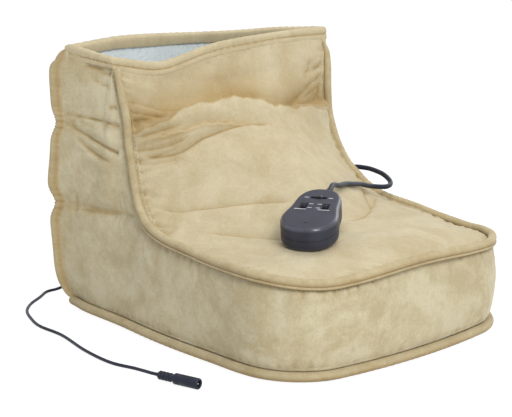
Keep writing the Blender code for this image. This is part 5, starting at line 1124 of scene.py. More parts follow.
@dataclass
class Covers:
    """Suede covers of the boot: side band, instep, back and the grip cloth below."""

    columns: int = 370
    levels: int = 132
    across: int = 176
    along: int = 258
    back_across: int = 160
    back_levels: int = 120
    surfaces: dict[str, Points] = field(default_factory=dict)

    @staticmethod
    def band_heights(columns: int, levels: int, bottom: float = 0.0,
                     ceiling: float = 1.0) -> tuple[Points, Points]:
        """Folds, quilting puckers and seam draw over the side band."""
        grid = BOOT.band(columns, levels, COVER_INSET, 1.0, bottom, ceiling)
        whole = BOOT.band(columns, 2, COVER_INSET)
        height = np.abs(grid[..., 2] - whole[:, :1, 2])
        below_top = np.linalg.norm(whole[:, 1:] - grid, axis=-1)
        length = run_length(whole.mean(axis=1))[:, None]
        total, shade = heights(grid, [*SIDE_FOLDS, *mirrored(SIDE_FOLDS, 3.0)], 3)
        total = total * smooth(np.minimum(length, length[-1] - length), 0.0, 0.030)
        total = total + seam_draw(below_top, length, 0.0012, 0.0007, 1)
        total = total + seam_draw(height, length, 0.0010, 0.0006, 2)
        total = total + Puckers(46, 0.0009, (0.008, 0.028), 0.7, 5).offset(length, below_top)
        total = total + Puckers(46, 0.0007, (0.008, 0.020), 0.5, 6).offset(length, height)
        for level, seed in ((BOOT.quilt_low, 8), (BOOT.quilt_high, 9)):
            tall = smooth(whole[:, 1:, 2], level + 0.01, level + 0.03)
            gap = np.abs(grid[..., 2] - level)
            total = total + Puckers(32, 0.0011, (0.010, 0.030), 0.8, seed).offset(length, gap) * tall
            total = total - 0.0012 * hump(gap, 0.0028) * tall
        edge = smooth(np.minimum(length, length[-1] - length), 0.0, 0.010)
        ends = smooth(height, 0.0, 0.004) * smooth(below_top, 0.0, 0.003)
        return total * edge * ends, shade

    @staticmethod
    def instep_heights(across: int, along: int, length: float = 1.0) -> tuple[Points, Points]:
        """Folds, puckers and seam draw over the instep."""
        grid = BOOT.instep(across, along, COVER_INSET, 1.0, length)
        total, shade = heights(grid, [*INSTEP_FOLDS, *LEFT_WRINKLES, *RIGHT_WRINKLES], 7)
        up = run_length(grid[across // 2])[None]
        side_run = run_length(grid[0])[None]
        left, right = (np.linalg.norm(grid - grid[end:end + 1 or None], axis=-1) for end in (0, -1))
        side = np.minimum(left, right)
        total = total + seam_draw(side, side_run, 0.0012, 0.0006, 3)
        round_toe = run_length(grid[:, 0])[:, None]
        total = total + seam_draw(up, round_toe, 0.0012, 0.0006, 4)
        total = total + Puckers(24, 0.0016, (0.010, 0.040), 0.6, 11, (0.38, 1.0)).offset(side_run, left)
        total = total + Puckers(20, 0.0012, (0.010, 0.032), 0.6, 12, (0.35, 1.0)).offset(side_run, right)
        total = total + Puckers(18, 0.0014, (0.010, 0.026), 0.6, 13, (0.0, 0.4)).offset(side_run, side)
        total = total + Puckers(36, 0.0009, (0.008, 0.024), 0.6, 14).offset(round_toe, up)
        on_the_sides = smooth(side_run, 0.115, 0.160)
        flange = smooth(FLANGE_WIDTH - side, 0.0, 0.0012) * on_the_sides
        groove = hump(side - STITCH_ROWS[0], 0.0006) * on_the_sides
        total = total * (1 - 0.5 * flange) + 0.0016 * flange - 0.0006 * groove
        ends = smooth(side, 0.0, 0.003) * smooth(up, 0.0, 0.003)
        if length == 1.0:
            ends = ends * smooth(up[:, -1:] - up, 0.0, 0.018)
        return total * ends, shade

    @staticmethod
    def back_heights(across: int, levels: int, bottom: float = 0.0,
                     ceiling: float = 1.0) -> tuple[Points, Points]:
        """Soft unevenness of the back panel, with puckers at its edges and quilting lines."""
        grid = BOOT.back(across, levels, COVER_INSET, 1.0, bottom, ceiling)
        z = grid[:, across // 2, 2][:, None]
        side = (1 - np.abs(np.linspace(-1, 1, across)))[None] * BOOT.half_width
        run = (1 + np.linspace(-1, 1, across))[None] * BOOT.half_width
        total, shade = heights(grid, (), 11, 0.05, 0.0011)
        total = total + seam_draw(side, z, 0.0008, 0.0008, 5)
        total = total + Puckers(60, 0.0018, (0.010, 0.036), 0.8, 15).offset(z, side)
        for level, seed in ((BOOT.quilt_low, 16), (BOOT.quilt_high, 17)):
            gap = np.abs(z - level)
            total = total + Puckers(34, 0.0019, (0.010, 0.030), 0.8, seed).offset(run, gap)
            total = total - 0.0014 * hump(gap, 0.0028)
        ends = smooth(side, 0.0, 0.004) * smooth(z, BOOT.foot, BOOT.foot + 0.006)
        return total * ends * smooth(-z, -BOOT.cuff, -BOOT.cuff + 0.014), shade

    def cloth(self, name: str, maker: Callable[[float], Points], worked: tuple[Points, Points],
              finish: object, node: str) -> bpy.types.Object:
        """One cover as a closed slab, with its painted shade kept as an attribute.

        Args:
            name: the piece's name.
            maker: gives the plain grid at an inset.
            worked: heights and shade over the grid.
            finish: its material.
            node: the solid that it replaces.
        """
        total, shade = worked
        # Painted shade in the creases, added to the folds' painted shade.
        shade = shade + creased(total)
        outer, inner = (grid + total[..., None] * grid_normals(grid)
                        for grid in (maker(COVER_INSET), maker(COVER_BACK)))
        self.surfaces[name] = outer
        return fit(slab(name, outer, inner, shade), finish, "suede", node)

    def build(self) -> None:
        band = self.cloth("band_cloth", lambda d: BOOT.band(self.columns, self.levels, d),
                          self.band_heights(self.columns, self.levels), SUEDE_SIDE, "side_band_cover")
        instep = self.cloth("instep_cloth", lambda d: BOOT.instep(self.across, self.along, d),
                            self.instep_heights(self.across, self.along), SUEDE, "instep_cover")
        back = self.cloth("back_cloth", lambda d: BOOT.back(self.back_across, self.back_levels, d),
                          self.back_heights(self.back_across, self.back_levels), SUEDE_SIDE, "back_cover")
        self.build_base()

    def build_base(self) -> None:
        """Grip cloth under the sole: rings drawn in towards the middle, with a soft quilted relief."""
        flat, share = drawn_in(BOOT.ring(0.0034, 260), 0.004, 48)
        low, high = flat.copy(), flat.copy()
        low[..., 2] = 0.0002 + 0.0003 * (1 + ripple(flat, 0.03, 21)) / 2 * smooth(1 - share[..., 0], 0, 0.1)
        high[..., 2] = 0.0016
        grid = np.concatenate([low[::-1], high])
        base = fit(skin("base_cloth", grid), GRIP, "base_cloth", "base_cover")


# Trim


@dataclass
class Trim:
    """Piping, welt, corner strips, cuff binding and the stitching."""

    piping: float = 0.0040
    welt: float = 0.0013
    base_piping: float = 0.0045
    strip_width: float = 0.0108
    strip_thickness: float = 0.0042
    strip_top_round: float = 0.019
    strip_gather: float = 0.0056
    binding_height: float = 0.0105
    binding_stitch_share: float = 0.52
    stitch: float = 0.0042

    def seam_line(self, count: int) -> Points:
        """Centre of the instep seam from the left side of the cuff round the toe to the right."""
        rows = BOOT.rows(np.array([-1.0, 1.0]), 0.0, 0.0)
        front = BOOT.rows(FRONT_SHARES, 0.0, 0.0)[0]
        line = np.concatenate([rows[17::-1, 0], front, rows[:18, 1]])
        return BOOT.settle(spline(line, even(line, count)))

    @staticmethod
    def outward(path: Points) -> Points:
        """Direction away from the middle of the boot at each place, level."""
        middle = np.stack([np.clip(path[:, 0], -0.07, 0.07), np.clip(path[:, 1], -0.09, 0.1), path[:, 2]],
                          axis=-1)
        return unit(path - middle)

    @staticmethod
    def cloth_tube(radius: float, pucker: float, seed: int,
                   closed: bool) -> Callable[[Points, Points], Points]:
        """Radius of cloth drawn over a cord: even, with slanting wrinkles that come and go."""
        def at(length: Points, angle: Points) -> Points:
            near_end = np.minimum(length, length.max() - length)
            right_end = length.max() - length
            taper = 0.45 + 0.25 * smooth(right_end, 0.0, 0.010) + 0.30 * smooth(near_end, 0.0, 0.030)
            size = radius if closed else radius * taper
            wave = np.sin(2 * math.pi * length / 0.0072 + 1.5 * angle + 2.0 * np.sin(length / 0.023 + seed))
            slow = np.sin(length / 0.052 + seed) * np.cos(angle - 0.6)
            strength = 0.5 + 0.5 * np.sin(length / 0.041 + seed)
            return size * (0.97 + 0.03 * slow) + pucker * wave * strength
        return at

    def tube(self, name: str, path: Points, radius: float, pucker: float, seed: int, node: Optional[str],
             closed: bool = False) -> None:
        """One piping along a path, with painted shade on its underside, in part nap brushed darker."""
        sides = 20
        if not closed:
            length = run_length(path)[:, None]
            near_end = np.minimum(length, length[-1] - length)
            right_end = length[-1] - length
            tucked = 0.0030 * (2 - smooth(near_end, 0.0, 0.040) - smooth(right_end, 0.0, 0.014))
            x, y = path[:, :1], path[:, 1:2]
            right = smooth(x, 0.0, 0.08) * smooth(y, -0.160, -0.125)
            path = path - (tucked + 0.0017 * right) * self.outward(path)
            path = path - np.array([0.0, 0.0, 0.0010]) * right
        grid = pipe(path, self.outward(path), self.cloth_tube(radius, pucker, seed, closed), sides, closed)
        angle = np.linspace(0, 2 * math.pi, sides, endpoint=False)
        # Painted shade on the lower side of the piping, where it faces down.
        shade = np.broadcast_to(0.85 * smooth(np.sin(angle), -0.3, 0.7)[None], grid.shape[:2])
        fit(skin(name, grid, closed, shade=shade), SUEDE_TRIM, "suede_trim", *([node] if node else []))

    def build(self, covers: Covers) -> None:
        """Make every strip and the thread."""
        path = self.seam_line(640)
        self.tube("seam_piping", path, self.piping, 0.00016, 1, "instep_piping")
        low = path[(path[:, 2] < 0.150)]
        under = low + 0.0026 * self.outward(low) + np.array([0.0, 0.0, -0.0042])
        self.tube("seam_welt", under, self.welt, 0.00010, 2, None)
        ring = BOOT.ring(0.0, 560)
        ring[:, 2] = 0.0005 + self.base_piping
        self.tube("floor_piping", ring, self.base_piping, 0.00014, 4, "base_piping", True)
        for name, side in (("left", 0), ("right", -1)):
            self.build_strip(name, side)
        self.build_binding()
        self.build_stitches(covers)

    def corner_line(self, side: int, count: int, low: float, high: float) -> Points:
        """Places up a back corner between two heights."""
        edge = BOOT.band(60, count, COVER_INSET)[side]
        return edge[(edge[:, 2] > low) & (edge[:, 2] < high)]

    @staticmethod
    def corner_ways(side: int) -> tuple[Points, Points]:
        """Directions at a back corner: diagonally out, and across the strip to the back."""
        sign = -1.0 if side == 0 else 1.0
        return np.array([sign, 1.0, 0.0]) / math.sqrt(2), np.array([-sign, 1.0, 0.0]) / math.sqrt(2)

    def build_strip(self, name: str, side: int) -> None:
        """Strip standing out diagonally from a back corner, gathered where the quilting pulls it."""
        edge = self.corner_line(side, 300, 0.0060, BOOT.cuff + 0.005)
        z = edge[:, 2]
        out, along = self.corner_ways(side)
        near = -0.0016
        pinch = 1.6 * hump(z - BOOT.quilt_low, 0.012) + 1.6 * hump(z - BOOT.quilt_high, 0.012) + 0.35
        gather = np.sin(2 * math.pi * z / self.strip_gather + 2.5 * np.sin(z / 0.011))
        slow = 0.0008 * np.sin(z / 0.017 + 1.0)
        near_top = np.clip((z - z[-1] + self.strip_top_round) / self.strip_top_round, 0, 1)
        top = np.sqrt(np.clip(1 - 0.99 * near_top ** 2, 0.0, 1.0))
        low = 0.75 + 0.25 * smooth(z, 0.004, 0.030)
        width = 0.0010 + (self.strip_width - 0.0010 + slow - 0.0007 * pinch * np.abs(gather)) * top * low
        t = np.linspace(0, 2 * math.pi, 32, endpoint=False)
        reach = 0.5 + 0.5 * squared(np.cos(t), 0.55)
        thick = squared(np.sin(t), 0.7) * self.strip_thickness / 2
        groove = 1 - 0.30 * hump(reach - 0.42, 0.07)
        roll = (0.62 + 0.38 * smooth(reach, 0.3, 0.8)) * groove
        sway = 0.0007 * gather * pinch
        across = thick[None] * roll[None] * (1 - 0.10 * np.abs(gather[:, None]) * pinch[:, None])
        across = across + sway[:, None] * reach[None] * 0.5
        offset = near + width[:, None] * reach[None]
        grid = edge[:, None] + offset[..., None] * out + across[..., None] * along
        # Slight even tint of the trim, with painted shade in the strip's groove and where it is gathered.
        shade = 0.10 + 0.5 * hump(reach - 0.35, 0.18)[None] + 0.25 * (pinch * np.maximum(gather, 0))[:, None]
        strip = skin("corner_strip_" + name, grid, shade=shade)
        fit(strip, SUEDE_TRIM, "suede_trim", "edge_binding_" + name)

    def binding_profile(self) -> list[tuple[float, float]]:
        """Section of the binding as (depth through the wall, drop down it): a folded strip."""
        outer = COVER_INSET - 0.0011
        inner = COVER_BACK + GAP + 0.0030 + 0.0012 + 0.0015
        arc = [math.pi * i / 8 for i in range(9)]
        mid, half = (outer + inner) / 2, (inner - outer) / 2
        over = [(mid - half * math.cos(a), 0.0006 - 0.0032 * math.sin(a)) for a in arc]
        under = [(mid + (half - 0.0014) * math.cos(a), 0.0012 - 0.0018 * math.sin(a)) for a in arc]
        low = self.binding_height
        return ([(outer + 0.0011, low), (outer + 0.0006, low - 0.0002), (outer + 0.0003, low - 0.0010),
                 (outer + 0.0001, low - 0.0035), (outer + 0.0007, low * self.binding_stitch_share),
                 (outer - 0.0001, low * 0.38)]
                + over + [(inner + 0.0002, low * 0.3), (inner, low * 0.74), (inner - 0.0003, low * 0.84),
                          (inner - 0.0012, low * 0.84), (inner - 0.0014, low * 0.5)] + under
                + [(outer + 0.0011, low * 0.5), (outer + 0.0011, low * 0.94)])

    def build_binding(self) -> None:
        """Strip folded over the rim: its section carried along the rim, with a slight wander."""
        lines = []
        for inset, drop in self.binding_profile():
            tops, down = BOOT.rim(inset, 150)
            length = run_length(tops)
            wander = 0.0007 * np.sin(length / 0.019) * np.clip(drop / self.binding_height, 0, 1)
            lines.append(tops + down * (drop + wander)[:, None])
        grid = np.stack(lines, axis=1)
        length = run_length(grid[:, 10])[:, None]
        wave = 0.00022 * np.sin(2 * math.pi * length / 0.009 + 2 * np.sin(length / 0.02))
        centre = grid.mean(axis=1, keepdims=True)
        grid = grid + wave[..., None] * unit(grid - centre)
        # Painted shade along the stitched groove of the binding.
        drops = np.array([drop for _, drop in self.binding_profile()])
        stitched = self.binding_stitch_share * self.binding_height
        shade = np.broadcast_to(0.7 * hump(drops - stitched, 0.0012)[None], grid.shape[:2])
        fit(skin("rim_binding", grid, True, shade=shade), SUEDE_RIM, "suede_trim", "cuff_binding")

    def build_stitches(self, covers: Covers) -> None:
        """Thread lines along the rim, both sides of the instep seam and the corner strips."""
        tops, down = BOOT.rim(COVER_INSET - 0.0006, 150)
        drop = self.binding_stitch_share * self.binding_height
        runs = [(tops + down * drop, self.outward(tops), 0.0003)]
        instep, band = covers.surfaces["instep_cloth"], covers.surfaces["band_cloth"]
        near, far = STITCH_ROWS
        for grid, distance in ((instep, near), (instep, far), (instep[::-1], near)):
            path = self.inner_line(grid, distance)
            runs.append((path, self.line_outs(grid, path), 0.0))
        seam = self.inner_line(band.transpose(1, 0, 2)[::-1], 0.0052)[6:-6]
        runs.append((seam, self.outward(seam), 0.0))
        for side in (0, -1):
            edge = self.corner_line(side, 200, 0.020, BOOT.cuff - 0.020)
            out, along = self.corner_ways(side)
            runs.append((edge + out * 0.0026 - along * 0.0010, np.broadcast_to(-along, edge.shape), 0.0002))
        stitches = [self.stitch_run(path, outs, proud) for path, outs, proud in runs]
        grid = self.capsules(*(np.concatenate(part) for part in zip(*stitches)))
        count, rings, sides = grid.shape[:3]
        quads = grid_quads(rings, sides, 0, False, True)
        caps = np.array([[0, 1, 2, 3], [0, 3, 4, 5]])
        one = np.concatenate([quads, caps[:, ::-1], caps + (rings - 1) * sides])
        faces = (one[None] + (np.arange(count) * rings * sides)[:, None, None]).reshape(-1, 4)
        fit(new_object("stitches", grid.reshape(-1, 3), faces.tolist(), 60), THREAD, "suede_trim")

    @staticmethod
    def inner_line(grid: Points, distance: float) -> Points:
        """Line on a cloth that keeps a distance from the edge where its first row lies."""
        steps = np.linalg.norm(np.diff(grid[:24], axis=0), axis=-1)
        away = np.concatenate([np.zeros((1, grid.shape[1])), np.cumsum(steps, axis=0)])
        return np.stack([[np.interp(distance, away[:, j], grid[:24, j, k]) for k in range(3)]
                         for j in range(2, grid.shape[1] - 6)])

    @staticmethod
    def line_outs(grid: Points, path: Points) -> Points:
        """Directions out of the cloth along a line near the edge where its first row lies."""
        outs = np.cross(grid[6] - grid[2], np.gradient(grid[2], axis=0))[2:-6]
        outs = outs * np.sign(outs[:, 2:3])
        return unit(outs)[:len(path)]

    def stitch_run(self, path: Points, outward: Points, proud: float) -> tuple[Points, Points, Points]:
        """Centres, directions and outward directions of stitches at the pitch along a path."""
        length = run_length(path)
        stops = np.arange(self.stitch / 2, length[-1] - self.stitch / 2, self.stitch)
        at = points_at(stops, length, path)
        ahead = points_at(stops + self.stitch / 4, length, path)
        out = unit(points_at(stops, length, outward))
        return at + out * proud, unit(ahead - at), out

    @staticmethod
    def capsules(places: Points, ways: Points, outs: Points, long: float = 0.0014,
                 thick: float = 0.00034) -> Points:
        """Six-sided capsules: three rings along each stitch, thin at the ends where the thread dives."""
        across = unit(np.cross(ways, outs))
        outs = np.cross(across, ways)
        along = np.array([-1.0, 0.0, 1.0])
        size = np.array([0.35, 1.0, 0.35]) * thick
        sink = np.array([-0.7, 0.0, -0.7]) * thick
        angle = np.arange(6) * math.pi / 3
        ring = (np.cos(angle)[:, None] * across[:, None, None]
                + np.sin(angle)[:, None] * outs[:, None, None])
        return (places[:, None, None] + (along * long)[None, :, None, None] * ways[:, None, None]
                + sink[None, :, None, None] * outs[:, None, None] + size[None, :, None, None] * ring)


# Filling and lining


@dataclass
class Filling:
    """Wadding behind the covers, the sole block, the heater felt and the fleece pocket."""

    columns: int = 240
    levels: int = 50
    instep_share: float = 0.885
    lap_share: float = 0.79
    fleece: float = 0.0029

    def wadding(self, name: str, outer: Points, inner: Points, node: str, fill: float) -> None:
        """One padded layer between two grids, a little lower near its edges, placed on the boot."""
        rows, columns = (np.minimum(np.arange(n), np.arange(n)[::-1]) for n in outer.shape[:2])
        lower = 0.0014 * (1 - smooth(np.minimum(rows[:, None], columns[None]).astype(float), 0.0, 6.0))
        outer = outer - lower[..., None] * grid_normals(outer)
        fit(slab(name, outer, inner), WADDING, "wadding", node)

    def build(self) -> None:
        """Make the five wall pads, the sole and the pocket."""
        low = SOLE_TOP + GAP
        total = Covers.band_heights(self.columns, self.levels, low, FOAM_CEILING)[0][..., None]
        outer = BOOT.band(self.columns, self.levels, FOAM_OUT, 1.0, low, FOAM_CEILING)
        outer = outer + sunk(total) * grid_normals(outer)
        inner = BOOT.band(self.columns, self.levels, FOAM_IN, 0.0, low, FOAM_CEILING)
        inner = inner + followed(total) * grid_normals(inner)
        foot = inner[:, 0]
        toe = np.nonzero(foot[:, 1] < BOOT.corner_radius - BOOT.half_length)[0]
        bounds = ((0, toe[0]), (toe[0], toe[-1] + 1), (toe[-1] + 1, self.columns))
        names = (("band_wadding_left", "side_padding_left"), ("toe_wadding", "toe_padding"),
                 ("band_wadding_right", "side_padding_right"))
        for (first, last), (name, node) in zip(bounds, names):
            self.wadding(name, outer[first:last], inner[first:last], node, 0.7)
        size = (100, 170)
        total = lowest(lowest(Covers.instep_heights(*size, self.instep_share)[0]))[..., None]
        outer = BOOT.instep(*size, FOAM_OUT, 1.0, self.instep_share)
        inner = BOOT.instep(*size, FOAM_IN, 0.0, self.instep_share)
        self.wadding("instep_wadding", outer + sunk(total) * grid_normals(outer),
                     inner + followed(total) * grid_normals(inner), "instep_padding", 0.6)
        size = (90, 54)
        total = lowest(Covers.back_heights(*size, low, FOAM_CEILING)[0])[..., None]
        outer = BOOT.back(*size, FOAM_OUT, 1.0, low, FOAM_CEILING)
        outer[..., 0] *= 1 - 0.042 * smooth(np.abs(np.linspace(-1, 1, size[0])), 0.86, 1.0)[None]
        self.wadding("back_wadding", outer + sunk(total) * grid_normals(outer),
                     BOOT.back(*size, FOAM_IN, 0.0, low, FOAM_CEILING), "back_padding", 0.6)
        self.build_sole()
        self.build_heater()
        self.build_pocket()

    @staticmethod
    def build_sole() -> None:
        """Block under the feet: rings of the walls' foot outline drawn in to the middle."""
        flat, _ = drawn_in(BOOT.ring(FOAM_OUT, 220), 0.004, 40)
        low, high = flat.copy(), flat.copy()
        low[..., 2], high[..., 2] = 0.0019, SOLE_TOP
        sole = skin("sole_wadding", np.concatenate([low[::-1], high]))
        fit(sole, WADDING, "wadding", "sole_padding")

    @staticmethod
    def build_heater() -> None:
        """Felt with the heating wire under it: a winding ridge raised by a narrow hump."""
        x, y = np.linspace(-0.110, 0.110, 120)[:, None], np.linspace(-0.130, 0.070, 110)[None]
        top = SOLE_TOP + GAP + 0.0012
        lane = 0.011 * np.round((y + 0.030) / 0.022) * 2
        ridge = 0.0003 * hump(y + 0.030 - lane, 0.0016) * (np.abs(x) < 0.098)
        flat = np.broadcast_arrays(x, y)
        upper = np.stack([*flat, np.broadcast_to(top + ridge, flat[0].shape)], axis=-1)
        lower = np.stack([*flat, np.full(flat[0].shape, SOLE_TOP + GAP)], axis=-1)
        fit(slab("heater_felt", upper, lower), FELT, "heater_felt", "heater_pad")

    def build_pocket(self) -> None:
        """Fleece bag open at the cuff: four walls of the form and a floor, sewn at their edges."""
        points, faces, start = [], [], 0
        for maker in (self.pocket_band, self.pocket_instep, self.pocket_back, self.pocket_floor):
            outer, inner = maker(LINING_OUT), maker(LINING_OUT + self.fleece)
            rows, columns = outer.shape[:2]
            faces += slab_faces(rows, columns, start).tolist()
            points += [outer.reshape(-1, 3), inner.reshape(-1, 3)]
            start += 2 * rows * columns
        pocket = new_object("fleece_pocket", np.concatenate(points), faces)
        fit(pocket, FLEECE, "fleece", "foot_pocket_lining")

    def moved_out(self, grid: Points, near: Points) -> Points:
        """A layer that passes smoothly to a nearer one above the end of the padding."""
        start, end = (BOOT.toe + share * BOOT.rise for share in (self.lap_share, self.instep_share))
        share = np.clip((grid[..., 2] - start) / (end - start), 0, 1)[..., None]
        return grid * (1 - share) + near * share

    def pocket_band(self, inset: float) -> Points:
        """Side wall of the pocket."""
        size, near = (260, 60), inset - LINING_OUT + FOAM_OUT
        total = followed(Covers.band_heights(*size, LINING_FLOOR)[0])
        grid = self.moved_out(*(BOOT.band(*size, d, 0.0, LINING_FLOOR) for d in (inset, near)))
        return grid + (total + 0.0006 * ripple(grid, 0.03, 31))[..., None] * grid_normals(grid)

    def pocket_instep(self, inset: float) -> Points:
        """Upper wall of the pocket."""
        size, near = (110, 150), inset - LINING_OUT + FOAM_OUT
        total = followed(lowest(lowest(Covers.instep_heights(*size)[0])))
        grid = self.moved_out(*(BOOT.instep(*size, d, 0.0) for d in (inset, near)))
        return grid + (total + 0.0006 * ripple(grid, 0.03, 32))[..., None] * grid_normals(grid)

    def pocket_back(self, inset: float) -> Points:
        """Heel wall of the pocket."""
        size, near = (110, 100), inset - LINING_OUT + FOAM_OUT
        grid = self.moved_out(*(BOOT.back(*size, d, 0.0, LINING_FLOOR) for d in (inset, near)))
        return grid + 0.0010 * ripple(grid, 0.035, 33)[..., None] * grid_normals(grid)

    @staticmethod
    def pocket_floor(inset: float) -> Points:
        """Floor of the pocket, as rings drawn in towards the middle."""
        ring = BOOT.ring(LINING_OUT, 200)
        ring = np.concatenate([ring, ring[:1]])
        flat, _ = drawn_in(ring, 0.01, 40)
        flat[..., 2] = LINING_FLOOR + (inset - LINING_OUT)
        return flat


# Handset


@dataclass
class Handset:
    """Corded control: two shells, three slide knobs, lamp, marks and strain relief."""

    length: float = 0.092
    thickness: float = 0.022
    near_width: float = 0.0545
    waist_width: float = 0.0440
    far_width: float = 0.0455
    split: float = 0.0095
    wall: float = 0.0020
    edge: float = 0.0042
    squareness: float = 2.6
    relief_length: float = 0.022
    set_back: float = 0.004
    mode_y: float = 0.0270
    side_knob_x: float = 0.0100
    side_window_y: float = 0.0080
    side_knob_y: float = 0.0060
    lamp_y: float = -0.0290
    sides: int = 132
    frame: Matrix = field(default_factory=Matrix)

    def place(self) -> Matrix:
        """The handset's own frame: its foot rests on the instep, turned and tilted."""
        turn = Matrix.Rotation(math.radians(-55.5), 4, "Z") @ Matrix.Rotation(math.radians(10.0), 4, "X")
        return Matrix.Translation((-0.044004, -0.079002, 0.107448)) @ turn

    def ring(self, inset: float, z: float) -> Points:
        """Outline at a height: a superellipse whose half width follows the waist."""
        angle = 2 * math.pi * (np.arange(self.sides) + 0.5) / self.sides
        power = 2 / self.squareness
        across = squared(np.cos(angle), power)
        y = (self.length / 2 - inset) * squared(np.sin(angle), power)
        share = y / self.length + 0.5
        width = self.near_width + (self.waist_width - self.near_width) * smooth(share, 0.22, 0.62)
        width = width + (self.far_width - self.waist_width) * smooth(share, 0.62, 0.88)
        return np.stack([(width / 2 - inset) * across, y, np.full(self.sides, z)], axis=-1)

    def rings(self, profile: Sequence[tuple[float, float]], crown: float = 0.0) -> Points:
        """Rings for a profile of (inset, height), with the last ones closing over the middle."""
        grid = [self.ring(inset, z) for inset, z in profile]
        last = grid[-1]
        middle = np.array([0.0, 0.0, profile[-1][1]])
        for share in (0.9, 0.75, 0.55, 0.35, 0.15, 0.02):
            shrunk = middle + (last - middle) * share
            shrunk[:, 2] = profile[-1][1] + crown * (1 - share * share)
            grid.append(shrunk)
        return np.array(grid)

    def shell(self, name: str, outer: Sequence[tuple[float, float]], inner: Sequence[tuple[float, float]],
              crown: float) -> bpy.types.Object:
        """Hollow shell: rings of the outside down to the rim and back over the inside."""
        out, into = self.rings(outer, crown), self.rings(inner)
        inset = np.concatenate([np.array([i for i, _ in outer]), np.zeros(len(out) - len(outer))])
        worn = np.concatenate([hump(inset / self.edge - 0.25, 0.25)[::-1] * (inset[::-1] > 0),
                               np.zeros(len(into))])
        shade = np.repeat(worn[:, None], self.sides, axis=1)
        return skin(name, np.concatenate([out[::-1], into]), sharp=32, shade=shade)

    def cut(self, item: bpy.types.Object, size: Sequence[float], centre: Sequence[float],
            soft: float = 0.0) -> None:
        """Cut a window with rounded corners from a shell."""
        bpy.ops.mesh.primitive_cube_add(size=1.0)
        tool = bpy.context.object
        tool.data.transform(Matrix.Translation(centre) @ Matrix.Diagonal((*size, 1.0)))
        if soft:
            bevel = tool.modifiers.new("soft", "BEVEL")
            bevel.width, bevel.segments = soft, 3
        change = item.modifiers.new("window", "BOOLEAN")
        change.operation, change.solver, change.object = "DIFFERENCE", "EXACT", tool
        bpy.context.view_layer.update()
        graph = bpy.context.evaluated_depsgraph_get()
        item.data = bpy.data.meshes.new_from_object(item.evaluated_get(graph))
        item.modifiers.clear()
        bpy.data.objects.remove(tool, do_unlink=True)

    def finish(self, item: bpy.types.Object, finish: object, slot: str, body: str,
               *nodes: str) -> bpy.types.Object:
        """Place a piece made in the handset's frame, dress it and tie it to its body."""
        item.data.transform(self.frame)
        return fit(item, finish, slot, *nodes, body=body)

    def build(self) -> None:
        """Make every piece of the handset."""
        self.frame = self.place()
        arc = [math.pi / 2 * i / 9 for i in range(10)]
        top = self.thickness
        upper_out = [(0.0, self.split + 0.0002)] + [
            (self.edge * (1 - math.cos(a)), top - self.edge + self.edge * math.sin(a)) for a in arc]
        upper_in = [(self.wall, self.split + 0.0002), (self.wall, top - self.wall - 0.002),
                    (self.wall + 0.002, top - self.wall)]
        upper = self.shell("handset_top", upper_out, upper_in, 0.0)
        lower_out = [(0.0, self.split - 0.0002), (0.0, 0.0030), (0.0003, 0.0014), (0.0010, 0.0004),
                     (0.0022, 0.0)]
        lower_in = [(self.wall, self.split - 0.0002), (self.wall, self.wall + 0.001),
                    (self.wall + 0.001, self.wall)]
        lower = self.shell("handset_bottom", lower_out, lower_in, 0.0)
        depth, middle = 2 * self.wall + 0.002, top - self.wall / 2
        self.cut(upper, (0.0150, 0.0046, depth), (0.0, self.mode_y - self.set_back, middle), 0.0005)
        window_y = self.side_window_y - self.set_back
        for x in (-self.side_knob_x, self.side_knob_x):
            self.cut(upper, (0.0056, 0.0100, depth), (x, window_y, middle), 0.0005)
            self.cut(upper, (0.0080, 0.0124, 0.0018), (x, window_y, top), 0.0006)
        self.cut(upper, (0.0028, 0.0028, depth), (0.0, self.lamp_y - self.set_back, middle), 0.0012)
        for item in (upper, lower):
            item.data.shade_smooth()
            item.data.set_sharp_from_angle(angle=math.radians(32))
        self.finish(upper, SLATE, "handset", "handset", "handset_upper_shell")
        self.finish(lower, SLATE, "handset", "handset", "handset_lower_shell")
        self.build_knobs()
        self.build_marks()
        self.build_relief()
        profile = ((0.0001, top - 0.0026), (0.0013, top - 0.0026), (0.0013, top - 0.0006),
                   (0.0010, top - 0.0002), (0.0001, top))
        lens = turned("lamp_window", profile, Matrix.Translation((0.0, self.lamp_y - self.set_back, 0.0)), 24)
        self.finish(lens, LENS, "lens", "handset", "lamp_lens")

    def build_knobs(self) -> None:
        """Ribbed slide knobs: a profile of ribs along the travel, drawn across with rounded ends."""
        specs = (("mode", 0.0, self.mode_y, 0.0062, 0.0038, False),
                 ("heat", -self.side_knob_x, self.side_knob_y, 0.0052, 0.0048, True),
                 ("massage", self.side_knob_x, self.side_knob_y, 0.0052, 0.0048, True))
        for name, x, y, long, wide, turn in specs:
            u = np.linspace(-1, 1, 57)
            ribs = 0.0004 * np.abs(np.sin(u * 3.5 * math.pi)) ** 0.7
            dome = 0.0008 * (1 - u ** 2)
            high = self.thickness + 0.0007 + ribs + dome - 0.0012 * np.abs(u) ** 12
            v = np.linspace(-1, 1, 15)
            edge = 0.0009 * np.abs(v) ** 8
            top = np.stack([np.broadcast_to((u * long / 2)[:, None], (57, 15)),
                            np.broadcast_to((v * wide / 2)[None], (57, 15)),
                            high[:, None] - edge[None]], axis=-1)
            base = top.copy()
            base[..., 2] = self.thickness - self.wall - 0.0026
            knob = slab(name + "_slider", top, base)
            spin = Matrix.Rotation(math.pi / 2 if turn else 0.0, 4, "Z")
            knob.data.transform(Matrix.Translation((x, y - self.set_back, 0.0)) @ spin)
            self.finish(knob, KNOB, "knob", name + "_knob", name + "_knob")

